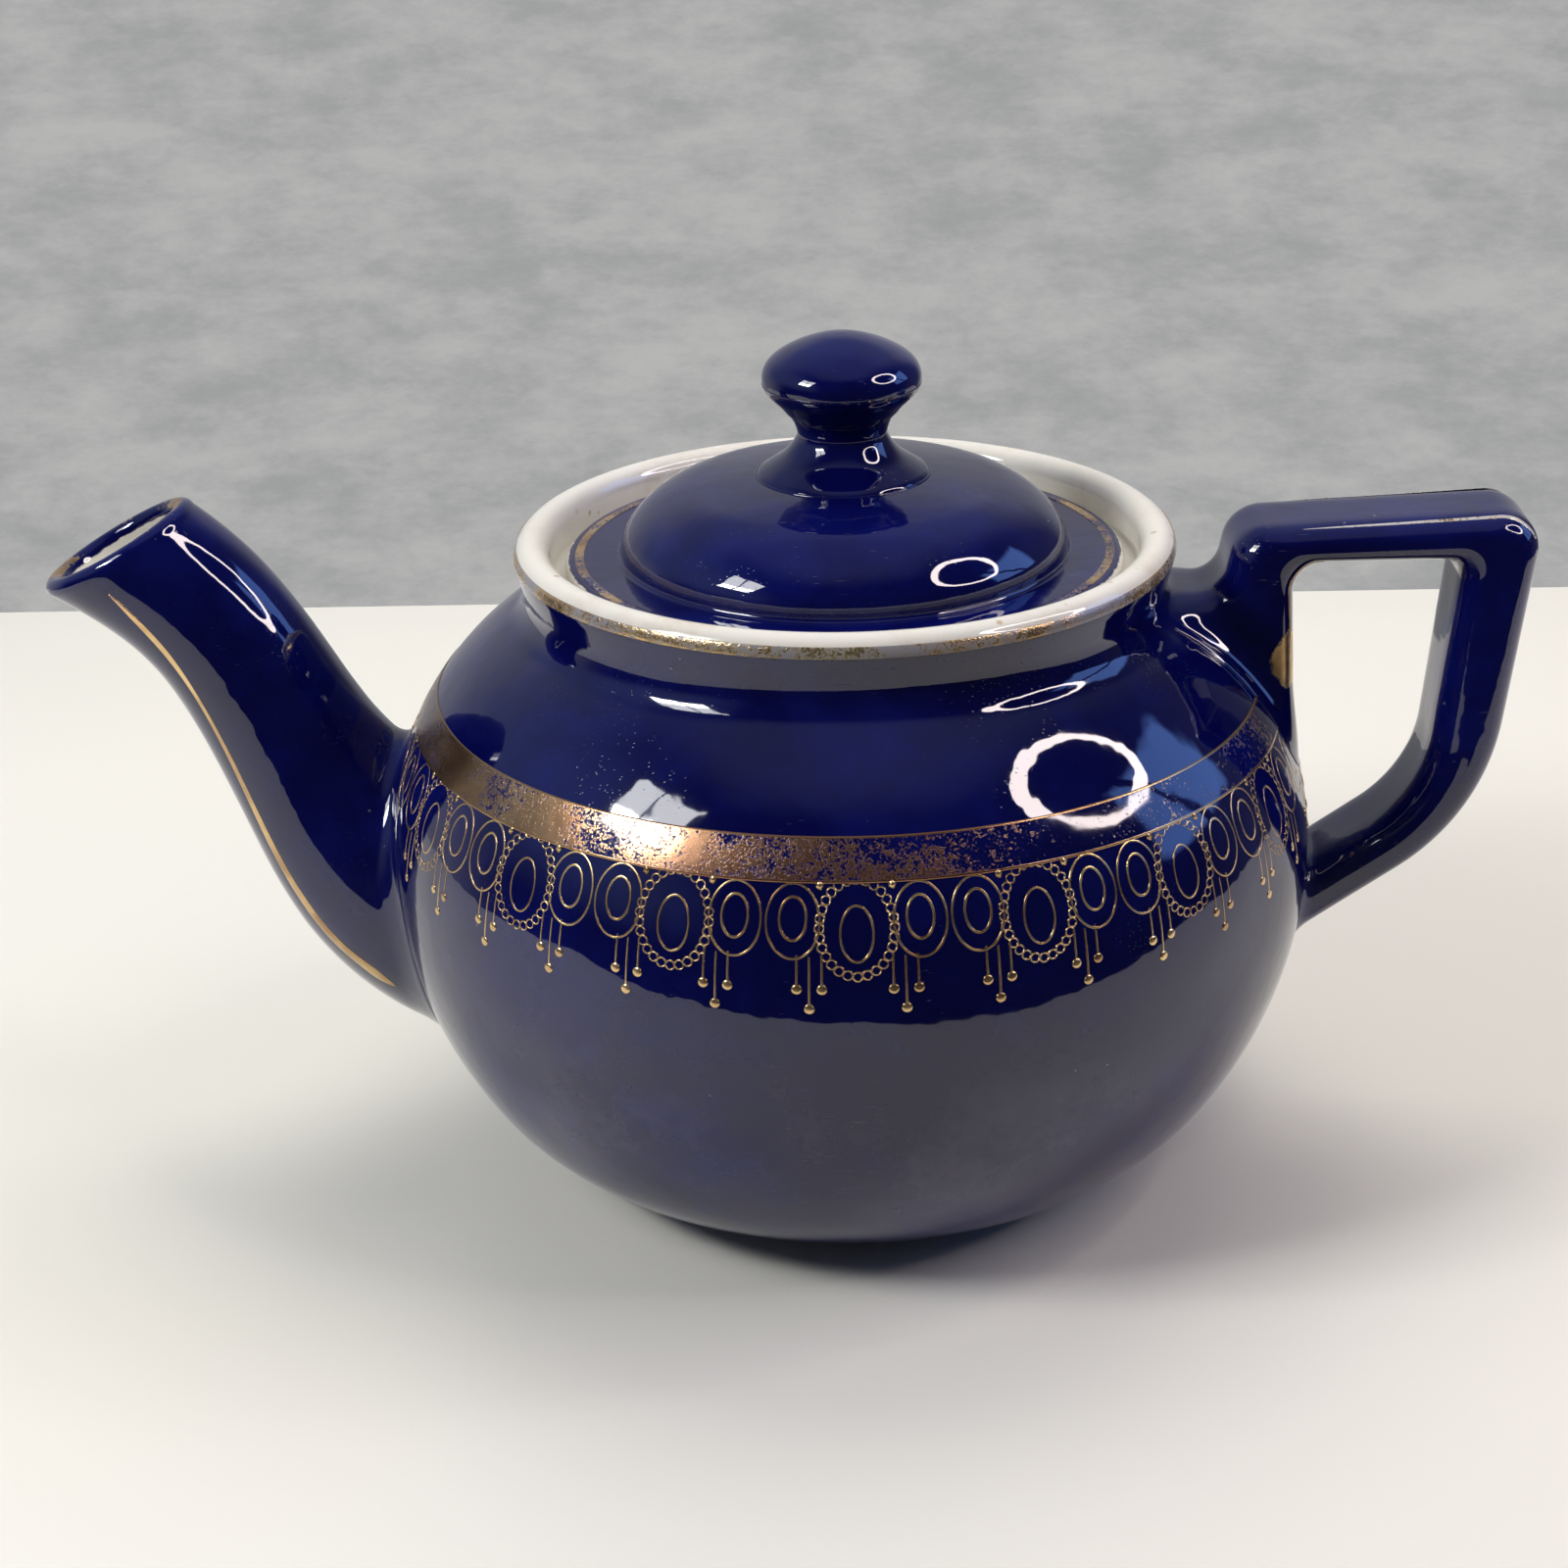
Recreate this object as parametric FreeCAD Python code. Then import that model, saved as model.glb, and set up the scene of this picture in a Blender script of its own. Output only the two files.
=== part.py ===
import FreeCAD, Part
import math
import os

# Gilded ceramic teapot: +Z up, the spout towards -X, the handle towards +X, the axis through the
# origin and the foot standing on z = 0. All sizes in millimetres.

# Pot body
BELLY_RADIUS = 74.5
BELLY_HEIGHT = 54.0
SHOULDER_ARC = 45.5
FLANK_ARC = 66.0
FLANK_SWEEP = 34.5
HEEL_ARC = 34.0
WALL = 4.0
FOOT_RADIUS = 41.0
FOOT_WIDTH = 5.0
FOOT_RECESS = 2.5
FOOT_EDGE = 0.8
FLOOR = 4.0

# Collar and the ledge inside it that carries the lid
COLLAR_RADIUS = 50.0
COLLAR_FLARE = 2.0
COLLAR_RISE = 11.5
LIP_THICKNESS = 5.5
LEDGE_WIDTH = 8.0
LID_SINK = 3.6

# Lid
LID_GAP = 2.5
FLANGE_THICKNESS = 3.6
FLANGE_EDGE = 1.2
FLANGE_WIDTH = 8.8
DOME_ARC = 136.0
DOME_EDGE = 9.5
DOME_STEP = 0.9
DOME_WALL = 4.0
SKIRT_GAP = 1.5
SKIRT_WALL = 3.5
SKIRT_DEPTH = 12.0
STEAM_HOLE = 4.5
STEAM_TURN = 22.0
STEAM_LEAN = 40.0
STEAM_INSET = 2.9

# Knob
KNOB_FOOT = 12.0
KNOB_NECK = 7.2
KNOB_RADIUS = 12.4
KNOB_HEIGHT = 21.6
NECK_HEIGHT = 6.5
SWELL_HEIGHT = 9.8
NECK_SWELL = 2.4
RIM_HEIGHT = 13.9
RIM_TALL = 1.2
KNOB_FOOT_LIFT = 0.9
KNOB_EDGE = 4.5

# Spout: each station gives how far it stands out from the belly, its height above the belly's
# widest line, the outer radius and how steeply it climbs there
SPOUT_STATIONS = (
    (-18.5, -11.0, 24.8, 6.0),
    (-8.5, -8.6, 22.6, 20.0),
    (1.5, -2.4, 18.8, 43.0),
    (11.5, 10.6, 14.3, 60.0),
    (19.4, 25.9, 12.5, 63.0),
    (28.5, 40.2, 12.1, 48.7),
    (49.5, 56.2, 12.2, 29.5),
)
SPOUT_WALL = 3.2
MOUTH_OUT = 43.0
MOUTH_UP = 50.5
MOUTH_TILT = 28.0
STRAINER_HOLE = 6.0
STRAINER_PITCH = 9.0
STRAINER_COUNT = 6
STRAINER_DROP = 6.0
STRAINER_DRILL = 20.0

# Handle
HANDLE_WIDTH = 20.0
HANDLE_EDGE = 3.0
HANDLE_REACH = 34.4
HANDLE_TOP = 2.5
TOP_FALL = 2.2
TOP_DEPTH = 7.7
TOP_FRONT_ROUND = 6.0
TOP_BACK_ROUND = 4.0
GRIP_DEPTH = 12.6
GRIP_LEAN = 6.3
GRIP_ROUND = 3.0
LIMB_GAP = 7.0
LIMB_DEPTH = 11.0
LIMB_LEAN = 2.0
LIMB_SPREAD = 1.6
LIMB_ROUND = 4.0
LIMB_END = 12.6
WEB_DROP = 10.3
WEB_FILLET = 5.0
TAIL_BEND = 3.4
TAIL_SLOPE = 34.6
TAIL_DEPTH = 8.6
TAIL_INSET = 10.6
BEND_OUTER = 36.0
BEND_INNER = 22.0
BEND_INSET = 10.2

# Luting slip between the pieces, and the fired gilding
SLIP = 0.6
SLIP_INSET = 0.6
FILM = 0.2
BAND_LOW = 21.8
BAND_HIGH = 27.4
LIP_LINE_SWEEP = 46.0
LID_LINE_INSET = 1.5
LID_LINE_WIDTH = 1.4

# Places worked out from the sizes above
UP = FreeCAD.Vector(0, 0, 1)
ORIGIN = FreeCAD.Vector(0, 0, 0)
SHOULDER_MID = BELLY_RADIUS - SHOULDER_ARC
FLANK_MID = BELLY_RADIUS - FLANK_ARC
HEEL_MID_R = FLANK_MID + (FLANK_ARC - HEEL_ARC) * math.cos(math.radians(FLANK_SWEEP))
HEEL_MID_Z = BELLY_HEIGHT - (FLANK_ARC - HEEL_ARC) * math.sin(math.radians(FLANK_SWEEP))
LIP_RADIUS = COLLAR_RADIUS + COLLAR_FLARE
LIP_INNER = LIP_RADIUS - LIP_THICKNESS
MOUTH_RADIUS = LIP_INNER - LEDGE_WIDTH


def shoulder_z(radius, grow=0.0):
    """Height of the shoulder at a radius, with the arc grown by a skin."""
    return BELLY_HEIGHT + math.sqrt((SHOULDER_ARC + grow) ** 2 - (radius - SHOULDER_MID) ** 2)


def shoulder_r(height):
    """Radius of the shoulder at a height."""
    return SHOULDER_MID + math.sqrt(SHOULDER_ARC ** 2 - (height - BELLY_HEIGHT) ** 2)


def heel_z(radius, grow=0.0):
    """Height of the heel's curve at a radius."""
    return HEEL_MID_Z - math.sqrt((HEEL_ARC + grow) ** 2 - (radius - HEEL_MID_R) ** 2)


def heel_r(height, grow=0.0):
    """Radius of the heel's curve at a height."""
    return HEEL_MID_R + math.sqrt((HEEL_ARC + grow) ** 2 - (height - HEEL_MID_Z) ** 2)


CREASE = shoulder_z(COLLAR_RADIUS)
LIP_TOP = CREASE + COLLAR_RISE
LIP_MID = LIP_TOP - LIP_THICKNESS / 2
FLANGE_TOP = LIP_TOP - LID_SINK
LEDGE = FLANGE_TOP - FLANGE_THICKNESS
FLANGE_RADIUS = LIP_INNER - LID_GAP
DOME_RADIUS = FLANGE_RADIUS - FLANGE_WIDTH
SKIRT_RADIUS = MOUTH_RADIUS - SKIRT_GAP
EDGE_MID_R = DOME_RADIUS - DOME_EDGE
EDGE_MID_Z = FLANGE_TOP + DOME_STEP
DOME_MID = EDGE_MID_Z - math.sqrt((DOME_ARC - DOME_EDGE) ** 2 - EDGE_MID_R ** 2)
DOME_TOP = DOME_MID + DOME_ARC
EDGE_TURN = math.atan2(EDGE_MID_Z - DOME_MID, EDGE_MID_R)


def at(radius, height):
    """A point of a turned profile."""
    return FreeCAD.Vector(radius, 0, height)


def line(start, end):
    """A straight edge."""
    return Part.LineSegment(start, end).toShape()


def arc(start, end, mid_r, mid_z, radius):
    """A profile arc about a known centre, by the short way round."""
    centre = at(mid_r, mid_z)
    middle = ((start + end) * 0.5 - centre).normalize()
    return Part.Arc(start, centre + middle * radius, end).toShape()


def turned(edges):
    """The solid that a closed profile sweeps about the pot's axis."""
    return Part.Face(Part.Wire(edges)).revolve(ORIGIN, UP, 360)


def flank_point(grow):
    """The point where the flank's arc runs into the heel's."""
    sweep = math.radians(FLANK_SWEEP)
    reach = FLANK_ARC + grow
    return at(FLANK_MID + reach * math.cos(sweep), BELLY_HEIGHT - reach * math.sin(sweep))


def belly_edges(low, high, grow):
    """The belly's three arcs, from a point on the heel up to a point on the shoulder."""
    widest = at(BELLY_RADIUS + grow, BELLY_HEIGHT)
    flank = flank_point(grow)
    return [
        arc(low, flank, HEEL_MID_R, HEEL_MID_Z, HEEL_ARC + grow),
        arc(flank, widest, FLANK_MID, BELLY_HEIGHT, FLANK_ARC + grow),
        arc(widest, high, SHOULDER_MID, BELLY_HEIGHT, SHOULDER_ARC + grow),
    ]


def envelope(grow):
    """The pot's outside as a filled solid, with a skin of the given thickness on it."""
    low = at(FOOT_RADIUS, heel_z(FOOT_RADIUS, grow))
    crease = at(COLLAR_RADIUS + grow, shoulder_z(COLLAR_RADIUS + grow, grow))
    lip = at(LIP_RADIUS + grow, LIP_MID)
    top = at(0, LIP_MID)
    bottom = at(0, low.z)
    edges = belly_edges(low, crease, grow)
    edges += [line(crease, lip), line(lip, top), line(top, bottom), line(bottom, low)]
    return turned(edges)


def make_pot_body():
    """The thrown pot: foot ring, belly, collar with its round lip, and the lid's ledge."""
    inner_foot = FOOT_RADIUS - FOOT_WIDTH
    floor_top = FOOT_RECESS + FLOOR
    inside_low = at(heel_r(floor_top, -WALL), floor_top)
    inside_high = at(MOUTH_RADIUS, shoulder_z(MOUTH_RADIUS, -WALL))
    foot = [
        at(0, FOOT_RECESS),
        at(inner_foot, FOOT_RECESS),
        at(inner_foot, FOOT_EDGE),
        at(inner_foot + FOOT_EDGE, 0),
        at(FOOT_RADIUS - FOOT_EDGE, 0),
        at(FOOT_RADIUS, FOOT_EDGE),
        at(FOOT_RADIUS, heel_z(FOOT_RADIUS)),
    ]
    crease = at(COLLAR_RADIUS, CREASE)
    lip_out = at(LIP_RADIUS, LIP_MID)
    lip_in = at(LIP_INNER, LIP_MID)
    lip_top = at((LIP_RADIUS + LIP_INNER) / 2, LIP_TOP)
    inside = [lip_in, at(LIP_INNER, LEDGE), at(MOUTH_RADIUS, LEDGE), inside_high]
    middle = at(0, floor_top)
    edges = [line(a, b) for a, b in zip(foot, foot[1:])]
    edges += belly_edges(foot[-1], crease, 0.0)
    edges += [line(crease, lip_out), Part.Arc(lip_out, lip_top, lip_in).toShape()]
    edges += [line(a, b) for a, b in zip(inside, inside[1:])]
    edges += belly_edges(inside_low, inside_high, -WALL)[::-1]
    edges += [line(inside_low, middle), line(middle, foot[0])]
    return turned(edges).cut(strainer_holes())


def strainer_holes():
    """The round of small holes behind the spout's root."""
    start = -(BELLY_RADIUS + WALL)
    depth = FreeCAD.Vector(1, 0, 0)
    places = [(0.0, 0.0)]
    for index in range(STRAINER_COUNT):
        turn = 2 * math.pi * index / STRAINER_COUNT
        places.append((STRAINER_PITCH * math.cos(turn), STRAINER_PITCH * math.sin(turn)))
    holes = []
    for side, rise in places:
        centre = FreeCAD.Vector(start, side, BELLY_HEIGHT - STRAINER_DROP + rise)
        holes.append(Part.makeCylinder(STRAINER_HOLE / 2, STRAINER_DRILL, centre, depth))
    return Part.makeCompound(holes)


def spout_skin(inset):
    """A filled spout, the given distance inside the outer skin."""
    rings = []
    for out, rise, radius, climb in SPOUT_STATIONS:
        ring = Part.Wire(Part.makeCircle(radius - inset))
        ring.rotate(ORIGIN, FreeCAD.Vector(0, 1, 0), climb - 90)
        ring.translate(FreeCAD.Vector(-(BELLY_RADIUS + out), 0, BELLY_HEIGHT + rise))
        rings.append(ring)
    return Part.makeLoft(rings, True, False)


def mouth_cutter():
    """The block beyond the spout's slanted mouth."""
    size = 2 * BELLY_RADIUS
    block = Part.makeBox(size, size, size, FreeCAD.Vector(-size / 2, -size / 2, 0))
    block.rotate(ORIGIN, FreeCAD.Vector(0, 1, 0), -MOUTH_TILT)
    block.translate(FreeCAD.Vector(-(BELLY_RADIUS + MOUTH_OUT), 0, BELLY_HEIGHT + MOUTH_UP))
    return block


def make_spout(skin, slip_skin):
    """The hollow spout, cut to the belly, and the ring of slip that holds it."""
    tube = spout_skin(0.0).cut(spout_skin(SPOUT_WALL)).cut(mouth_cutter())
    spout = tube.cut(slip_skin)
    bed = spout_skin(SLIP_INSET).cut(spout_skin(SPOUT_WALL)).cut(mouth_cutter())
    return spout, bed.common(slip_skin).cut(skin)


def rounded_outline(corners):
    """A closed wire in the XZ plane through corners, each rounded to its own radius."""
    edges = []
    ends = []
    count = len(corners)
    for index in range(count):
        before = FreeCAD.Vector(corners[index - 1][0], 0, corners[index - 1][1])
        here = FreeCAD.Vector(corners[index][0], 0, corners[index][1])
        after = FreeCAD.Vector(corners[(index + 1) % count][0], 0, corners[(index + 1) % count][1])
        radius = corners[index][2]
        back = (before - here).normalize()
        ahead = (after - here).normalize()
        half = back.getAngle(ahead) / 2
        reach = radius / math.tan(half)
        middle = (back + ahead).normalize()
        deep = radius / math.sin(half) - radius
        ends.append((here + back * reach, here + middle * deep, here + ahead * reach, radius))
    for index in range(count):
        start, middle, end, radius = ends[index]
        if radius > 0:
            edges.append(Part.Arc(start, middle, end).toShape())
        edges.append(line(end, ends[(index + 1) % count][0]))
    return Part.Wire(edges)


def handle_blank():
    """The handle as one bent square bar, its two ends running into the pot."""
    reach = BELLY_RADIUS + HANDLE_REACH
    top = LIP_TOP + HANDLE_TOP
    under = top - TOP_DEPTH
    limb = LIP_RADIUS + LIMB_GAP
    limb_in = limb + LIMB_DEPTH
    limb_end = BELLY_HEIGHT + LIMB_END
    web = LIP_TOP - WEB_DROP
    tail_end = BELLY_RADIUS - TAIL_INSET
    bend_out = reach - GRIP_LEAN
    bend_in = bend_out - BEND_INSET
    fall = math.tan(math.radians(TAIL_SLOPE))
    tail_low = BELLY_HEIGHT + TAIL_BEND - (bend_out - tail_end) * fall
    tail_high = tail_low + TAIL_DEPTH / math.cos(math.radians(TAIL_SLOPE))
    corners = (
        (MOUTH_RADIUS, web, 0.0),
        (limb, web, WEB_FILLET),
        (limb + LIMB_LEAN, top - TOP_FALL, TOP_FRONT_ROUND),
        (reach, top, TOP_BACK_ROUND),
        (bend_out, BELLY_HEIGHT + TAIL_BEND, BEND_OUTER),
        (tail_end, tail_low, 0.0),
        (tail_end, tail_high, 0.0),
        (bend_in, tail_high + (bend_in - tail_end) * fall, BEND_INNER),
        (reach - GRIP_DEPTH, under, GRIP_ROUND),
        (limb_in, under, LIMB_ROUND),
        (limb_in + LIMB_SPREAD, limb_end, 0.0),
        (MOUTH_RADIUS, limb_end, 0.0),
    )
    face = Part.Face(rounded_outline(corners))
    face.translate(FreeCAD.Vector(0, -HANDLE_WIDTH / 2, 0))
    bar = face.extrude(FreeCAD.Vector(0, HANDLE_WIDTH, 0))
    long_edges = [edge for edge in bar.Edges if edge.BoundBox.YLength < HANDLE_EDGE]
    return bar.makeFillet(HANDLE_EDGE, long_edges)


def make_handle(skin, slip_skin):
    """The handle and the two beds of slip that join it to the shoulder and the belly."""
    blank = handle_blank()
    beds = sorted(blank.common(slip_skin).cut(skin).Solids, key=lambda bed: bed.CenterOfMass.z)
    return blank, blank.cut(slip_skin), beds[-1], beds[0]


def dome_ball(grow):
    """The sphere that the lid's crown follows."""
    return Part.makeSphere(DOME_ARC + grow, at(0, DOME_MID))


def make_lid():
    """The lid: flange, cushion-shaped crown, skirt and steam hole."""
    edge_out = at(DOME_RADIUS, EDGE_MID_Z)
    edge_in = at(DOME_ARC * math.cos(EDGE_TURN), DOME_MID + DOME_ARC * math.sin(EDGE_TURN))
    crown = at(0, DOME_TOP)
    under = DOME_ARC - DOME_WALL
    skirt_inner = SKIRT_RADIUS - SKIRT_WALL
    ceiling = at(EDGE_MID_R, DOME_MID + math.sqrt(under ** 2 - EDGE_MID_R ** 2))
    outline = [
        ceiling,
        at(skirt_inner, LEDGE),
        at(skirt_inner, LEDGE - SKIRT_DEPTH),
        at(SKIRT_RADIUS, LEDGE - SKIRT_DEPTH),
        at(SKIRT_RADIUS, LEDGE),
        at(FLANGE_RADIUS, LEDGE),
        at(FLANGE_RADIUS, FLANGE_TOP - FLANGE_EDGE),
        at(FLANGE_RADIUS - FLANGE_EDGE, FLANGE_TOP),
        at(DOME_RADIUS, FLANGE_TOP),
        edge_out,
    ]
    edges = [line(a, b) for a, b in zip(outline, outline[1:])]
    edges.append(arc(edge_out, edge_in, EDGE_MID_R, EDGE_MID_Z, DOME_EDGE))
    edges.append(arc(edge_in, crown, 0, DOME_MID, DOME_ARC))
    edges.append(line(crown, at(0, DOME_MID + under)))
    edges.append(arc(at(0, DOME_MID + under), ceiling, 0, DOME_MID, under))
    return turned(edges).cut(steam_hole())


def steam_hole():
    """The hole through the crown's edge, square to its surface."""
    reach = DOME_RADIUS - STEAM_INSET
    hole = Part.makeCylinder(STEAM_HOLE / 2, 4 * DOME_WALL, at(0, -2 * DOME_WALL), UP)
    hole.rotate(ORIGIN, FreeCAD.Vector(0, 1, 0), STEAM_LEAN)
    hole.translate(at(reach, EDGE_MID_Z + DOME_EDGE / 2))
    hole.rotate(ORIGIN, UP, 180 - STEAM_TURN)
    return hole


def make_knob():
    """The mushroom knob, bedded on the crown, and its slip."""
    base = DOME_TOP
    foot = at(KNOB_FOOT, DOME_MID + math.sqrt((DOME_ARC + SLIP) ** 2 - KNOB_FOOT ** 2) + KNOB_FOOT_LIFT)
    neck = at(KNOB_NECK, base + NECK_HEIGHT)
    drop = neck.z - foot.z
    flare = KNOB_FOOT - KNOB_NECK
    bend = (flare ** 2 + drop ** 2) / (2 * flare)
    rim_low = at(KNOB_RADIUS, base + RIM_HEIGHT)
    rim_high = at(KNOB_RADIUS, base + RIM_HEIGHT + RIM_TALL)
    under = at(KNOB_NECK + NECK_SWELL, base + SWELL_HEIGHT)
    top = at(0, base + KNOB_HEIGHT)
    cap = top.z - rim_high.z
    turn_r = KNOB_RADIUS - KNOB_EDGE
    cap_arc = (turn_r ** 2 + cap ** 2 - KNOB_EDGE ** 2) / (2 * (cap - KNOB_EDGE))
    cap_mid = top.z - cap_arc
    share = cap_arc / (cap_arc - KNOB_EDGE)
    brow = at(turn_r * share, cap_mid + (rim_high.z - cap_mid) * share)
    edges = [
        line(at(0, DOME_MID), at(KNOB_FOOT, DOME_MID)),
        line(at(KNOB_FOOT, DOME_MID), foot),
        arc(foot, neck, KNOB_NECK + bend, neck.z, bend),
        Part.Arc(neck, under, rim_low).toShape(),
        line(rim_low, rim_high),
        arc(rim_high, brow, turn_r, rim_high.z, KNOB_EDGE),
        arc(brow, top, 0, cap_mid, cap_arc),
        line(top, at(0, DOME_MID)),
    ]
    knob = turned(edges).cut(dome_ball(SLIP))
    bed = Part.makeCylinder(KNOB_FOOT - SLIP_INSET, KNOB_HEIGHT, at(0, DOME_TOP - KNOB_HEIGHT / 2))
    return knob, bed.common(dome_ball(SLIP)).cut(dome_ball(0.0))


def ring(low, high, height, tall):
    """A flat or upright ring of gilding."""
    outer = Part.makeCylinder(high, tall, at(0, height))
    return outer.cut(Part.makeCylinder(low, tall, at(0, height)))


def make_shoulder_band(handle_bar):
    """The broad gilt band round the shoulder, stopping at the handle's root."""
    low = BELLY_HEIGHT + BAND_LOW
    high = BELLY_HEIGHT + BAND_HIGH
    inner = [at(shoulder_r(low), low), at(shoulder_r(high), high)]
    tilt = [(point - at(SHOULDER_MID, BELLY_HEIGHT)).normalize() for point in inner]
    outer = [point + way * FILM for point, way in zip(inner, tilt)]
    edges = [
        arc(inner[0], inner[1], SHOULDER_MID, BELLY_HEIGHT, SHOULDER_ARC),
        line(inner[1], outer[1]),
        arc(outer[1], outer[0], SHOULDER_MID, BELLY_HEIGHT, SHOULDER_ARC + FILM),
        line(outer[0], inner[0]),
    ]
    return turned(edges).cut(handle_bar)


def make_lip_line():
    """The gilt line on the outside of the lip's roll."""
    roll = LIP_THICKNESS / 2
    middle = LIP_RADIUS - roll
    sweep = math.radians(LIP_LINE_SWEEP)
    way = at(math.cos(sweep), math.sin(sweep))
    centre = at(middle, LIP_MID)
    inner = [centre + at(roll, 0), centre + way * roll]
    outer = [centre + at(roll + FILM, 0), centre + way * (roll + FILM)]
    edges = [
        arc(inner[0], inner[1], middle, LIP_MID, roll),
        line(inner[1], outer[1]),
        arc(outer[1], outer[0], middle, LIP_MID, roll + FILM),
        line(outer[0], inner[0]),
    ]
    return turned(edges)


def main():
    """Make every piece and write one file for each."""
    skin = envelope(0.0)
    slip_skin = envelope(SLIP)
    spout, spout_slip = make_spout(skin, slip_skin)
    blank, handle, upper_slip, lower_slip = make_handle(skin, slip_skin)
    knob, knob_slip = make_knob()
    line_out = FLANGE_RADIUS - LID_LINE_INSET
    rim_level = DOME_TOP + RIM_HEIGHT
    pieces = {
        "pot_body": make_pot_body(),
        "spout": spout,
        "spout_slip": spout_slip,
        "handle": handle,
        "handle_upper_slip": upper_slip,
        "handle_lower_slip": lower_slip,
        "lid": make_lid(),
        "lid_knob": knob,
        "knob_slip": knob_slip,
        "shoulder_band": make_shoulder_band(blank),
        "lip_line": make_lip_line(),
        "lid_line": ring(line_out - LID_LINE_WIDTH, line_out, FLANGE_TOP, FILM),
        "knob_line": ring(KNOB_RADIUS, KNOB_RADIUS + FILM, rim_level, RIM_TALL),
    }
    os.makedirs("parts", exist_ok=True)
    for name, shape in pieces.items():
        shape.exportStep(os.path.join("parts", name + ".step"))
        box = shape.BoundBox
        print(name, len(shape.Solids), "solids", shape.isValid(), round(shape.Volume, 1), box)


main()
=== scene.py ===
import math

import bmesh
import bpy
import numpy as np
from mathutils import Matrix, Vector


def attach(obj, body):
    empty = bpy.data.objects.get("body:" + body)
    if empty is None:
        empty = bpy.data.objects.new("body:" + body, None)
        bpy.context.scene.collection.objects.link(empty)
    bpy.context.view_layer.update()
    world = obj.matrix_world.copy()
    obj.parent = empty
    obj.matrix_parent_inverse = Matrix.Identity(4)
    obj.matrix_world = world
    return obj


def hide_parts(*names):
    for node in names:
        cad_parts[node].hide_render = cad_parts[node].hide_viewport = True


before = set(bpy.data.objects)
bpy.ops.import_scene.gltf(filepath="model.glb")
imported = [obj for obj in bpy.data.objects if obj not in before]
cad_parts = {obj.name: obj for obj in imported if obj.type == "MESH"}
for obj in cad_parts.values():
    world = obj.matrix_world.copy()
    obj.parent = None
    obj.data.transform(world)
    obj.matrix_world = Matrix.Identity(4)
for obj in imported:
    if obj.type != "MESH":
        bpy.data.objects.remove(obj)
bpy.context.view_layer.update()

bl_info = {
    "name": "Gilded cobalt teapot",
    "version": (1, 0, 0),
    "blender": (4, 5, 0),
    "location": "View3D > Sidebar > Teapot",
    "description": "Builds the glazed clay pieces of a teapot, their gilding and a plain stage",
    "category": "Object",
}

MM = 0.001
UP = np.array((0.0, 0.0, 1.0))

# The spout's stations from its root to its tip: out from the belly, above its widest line, outer
# radius (all in millimetres) and climb in degrees
SPOUT_STATIONS = (
    (-18.5, -11.0, 24.8, 6.0),
    (-8.5, -8.6, 22.6, 20.0),
    (1.5, -2.4, 18.8, 43.0),
    (11.5, 10.6, 14.3, 60.0),
    (19.4, 25.9, 12.5, 63.0),
    (28.5, 40.2, 12.1, 48.7),
    (49.5, 56.2, 12.2, 29.5),
)
# The painted stroke along each side of the spout: distance from the first station (mm), turn round
# the spout below its side (degrees) and half width (mm)
SPOUT_STROKE = (
    (12.8, 36.5, 0.3),
    (14.2, 37.6, 1.25),
    (16.5, 38.6, 1.6),
    (19.5, 40.6, 1.5),
    (25.5, 42.2, 1.25),
    (36.0, 42.0, 0.95),
    (49.5, 37.4, 0.62),
    (65.0, 31.0, 0.55),
    (82.0, 18.5, 0.45),
    (85.5, 14.5, 0.12),
)
# The knob's side, from its foot up: out from its neck and above its widest line (mm)
KNOB_SIDE = (
    (4.2, -13.3), (2.2, -11.9), (0.8, -10.3), (0.0, -8.6),
    (0.2, -7.5), (0.9, -6.0), (1.9, -4.9), (3.0, -3.7),
)
# The knob's brow: out from its rim and above its widest line (mm)
KNOB_BROW = ((-1.1, -2.5), (-0.25, -1.2), (0.0, 0.0))
# The knob's cap: shares of the rim's radius and of the cap's height
KNOB_CAP = (
    (0.995, 0.13), (0.96, 0.29), (0.88, 0.46), (0.75, 0.62),
    (0.58, 0.77), (0.39, 0.89), (0.20, 0.97), (0.0, 1.0),
)
# The lace's ovals: lower and upper edge above the widest line, and width (mm)
BEADED_OVAL = (9.5, 23.3, 10.7)
BEADED_EYE = (11.6, 19.6, 4.7)
SIDE_OVAL = (12.0, 22.7, 7.7)
SIDE_EYE = (14.6, 20.8, 3.9)
# The lace's drops: aside from the middle of their group, upper and lower end (mm)
DROPS = ((-1.75, 12.6, 7.6), (0.0, 12.4, 4.7), (1.75, 12.6, 7.6))
# How far each stands aside from the beaded oval, and how high the lozenge stands (mm)
SIDE_OVAL_ASIDE = 9.1
DROPS_ASIDE = 6.7
LOZENGE_ASIDE = 5.3
LOZENGE_HEIGHT = 22.6
# Where the lace stops round the spout: half the opening's width and height, and its middle (mm)
SPOUT_OPENING_SIDE = 20.2
SPOUT_OPENING_RISE = 23.6
SPOUT_OPENING_MIDDLE = 46.0
# Where the lace stops round the handle: its distance from the bar, and from which height up (mm)
HANDLE_OPENING_GAP = 3.6
HANDLE_OPENING_LOW = 67.5
# Rubbed gold on both edges of the handle's front limb: its middle and its reach (mm)
HANDLE_PATCH = (69.9, 8.6, 85.4)
HANDLE_PATCH_REACH = 3.1
# The gold line inside the front limb, partly a painted reflection along that edge: its lower end,
# and how far out it goes (mm)
LIMB_LINE_LOW = 86.0
LIMB_LINE_OUT = 75.0
# The gold line along the handle's top, paled by a painted highlight: where it begins, and how far
# below the lip it may lie (mm)
TOP_LINE_START = 71.0
TOP_LINE_DROP = 2.0

# How far the spout and the handle reach into the pot's clay (mm)
SUNK = 0.4

# The glazed surface
GLAZE_IOR = 1.6
BUMP_DEPTH = 0.0004
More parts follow.
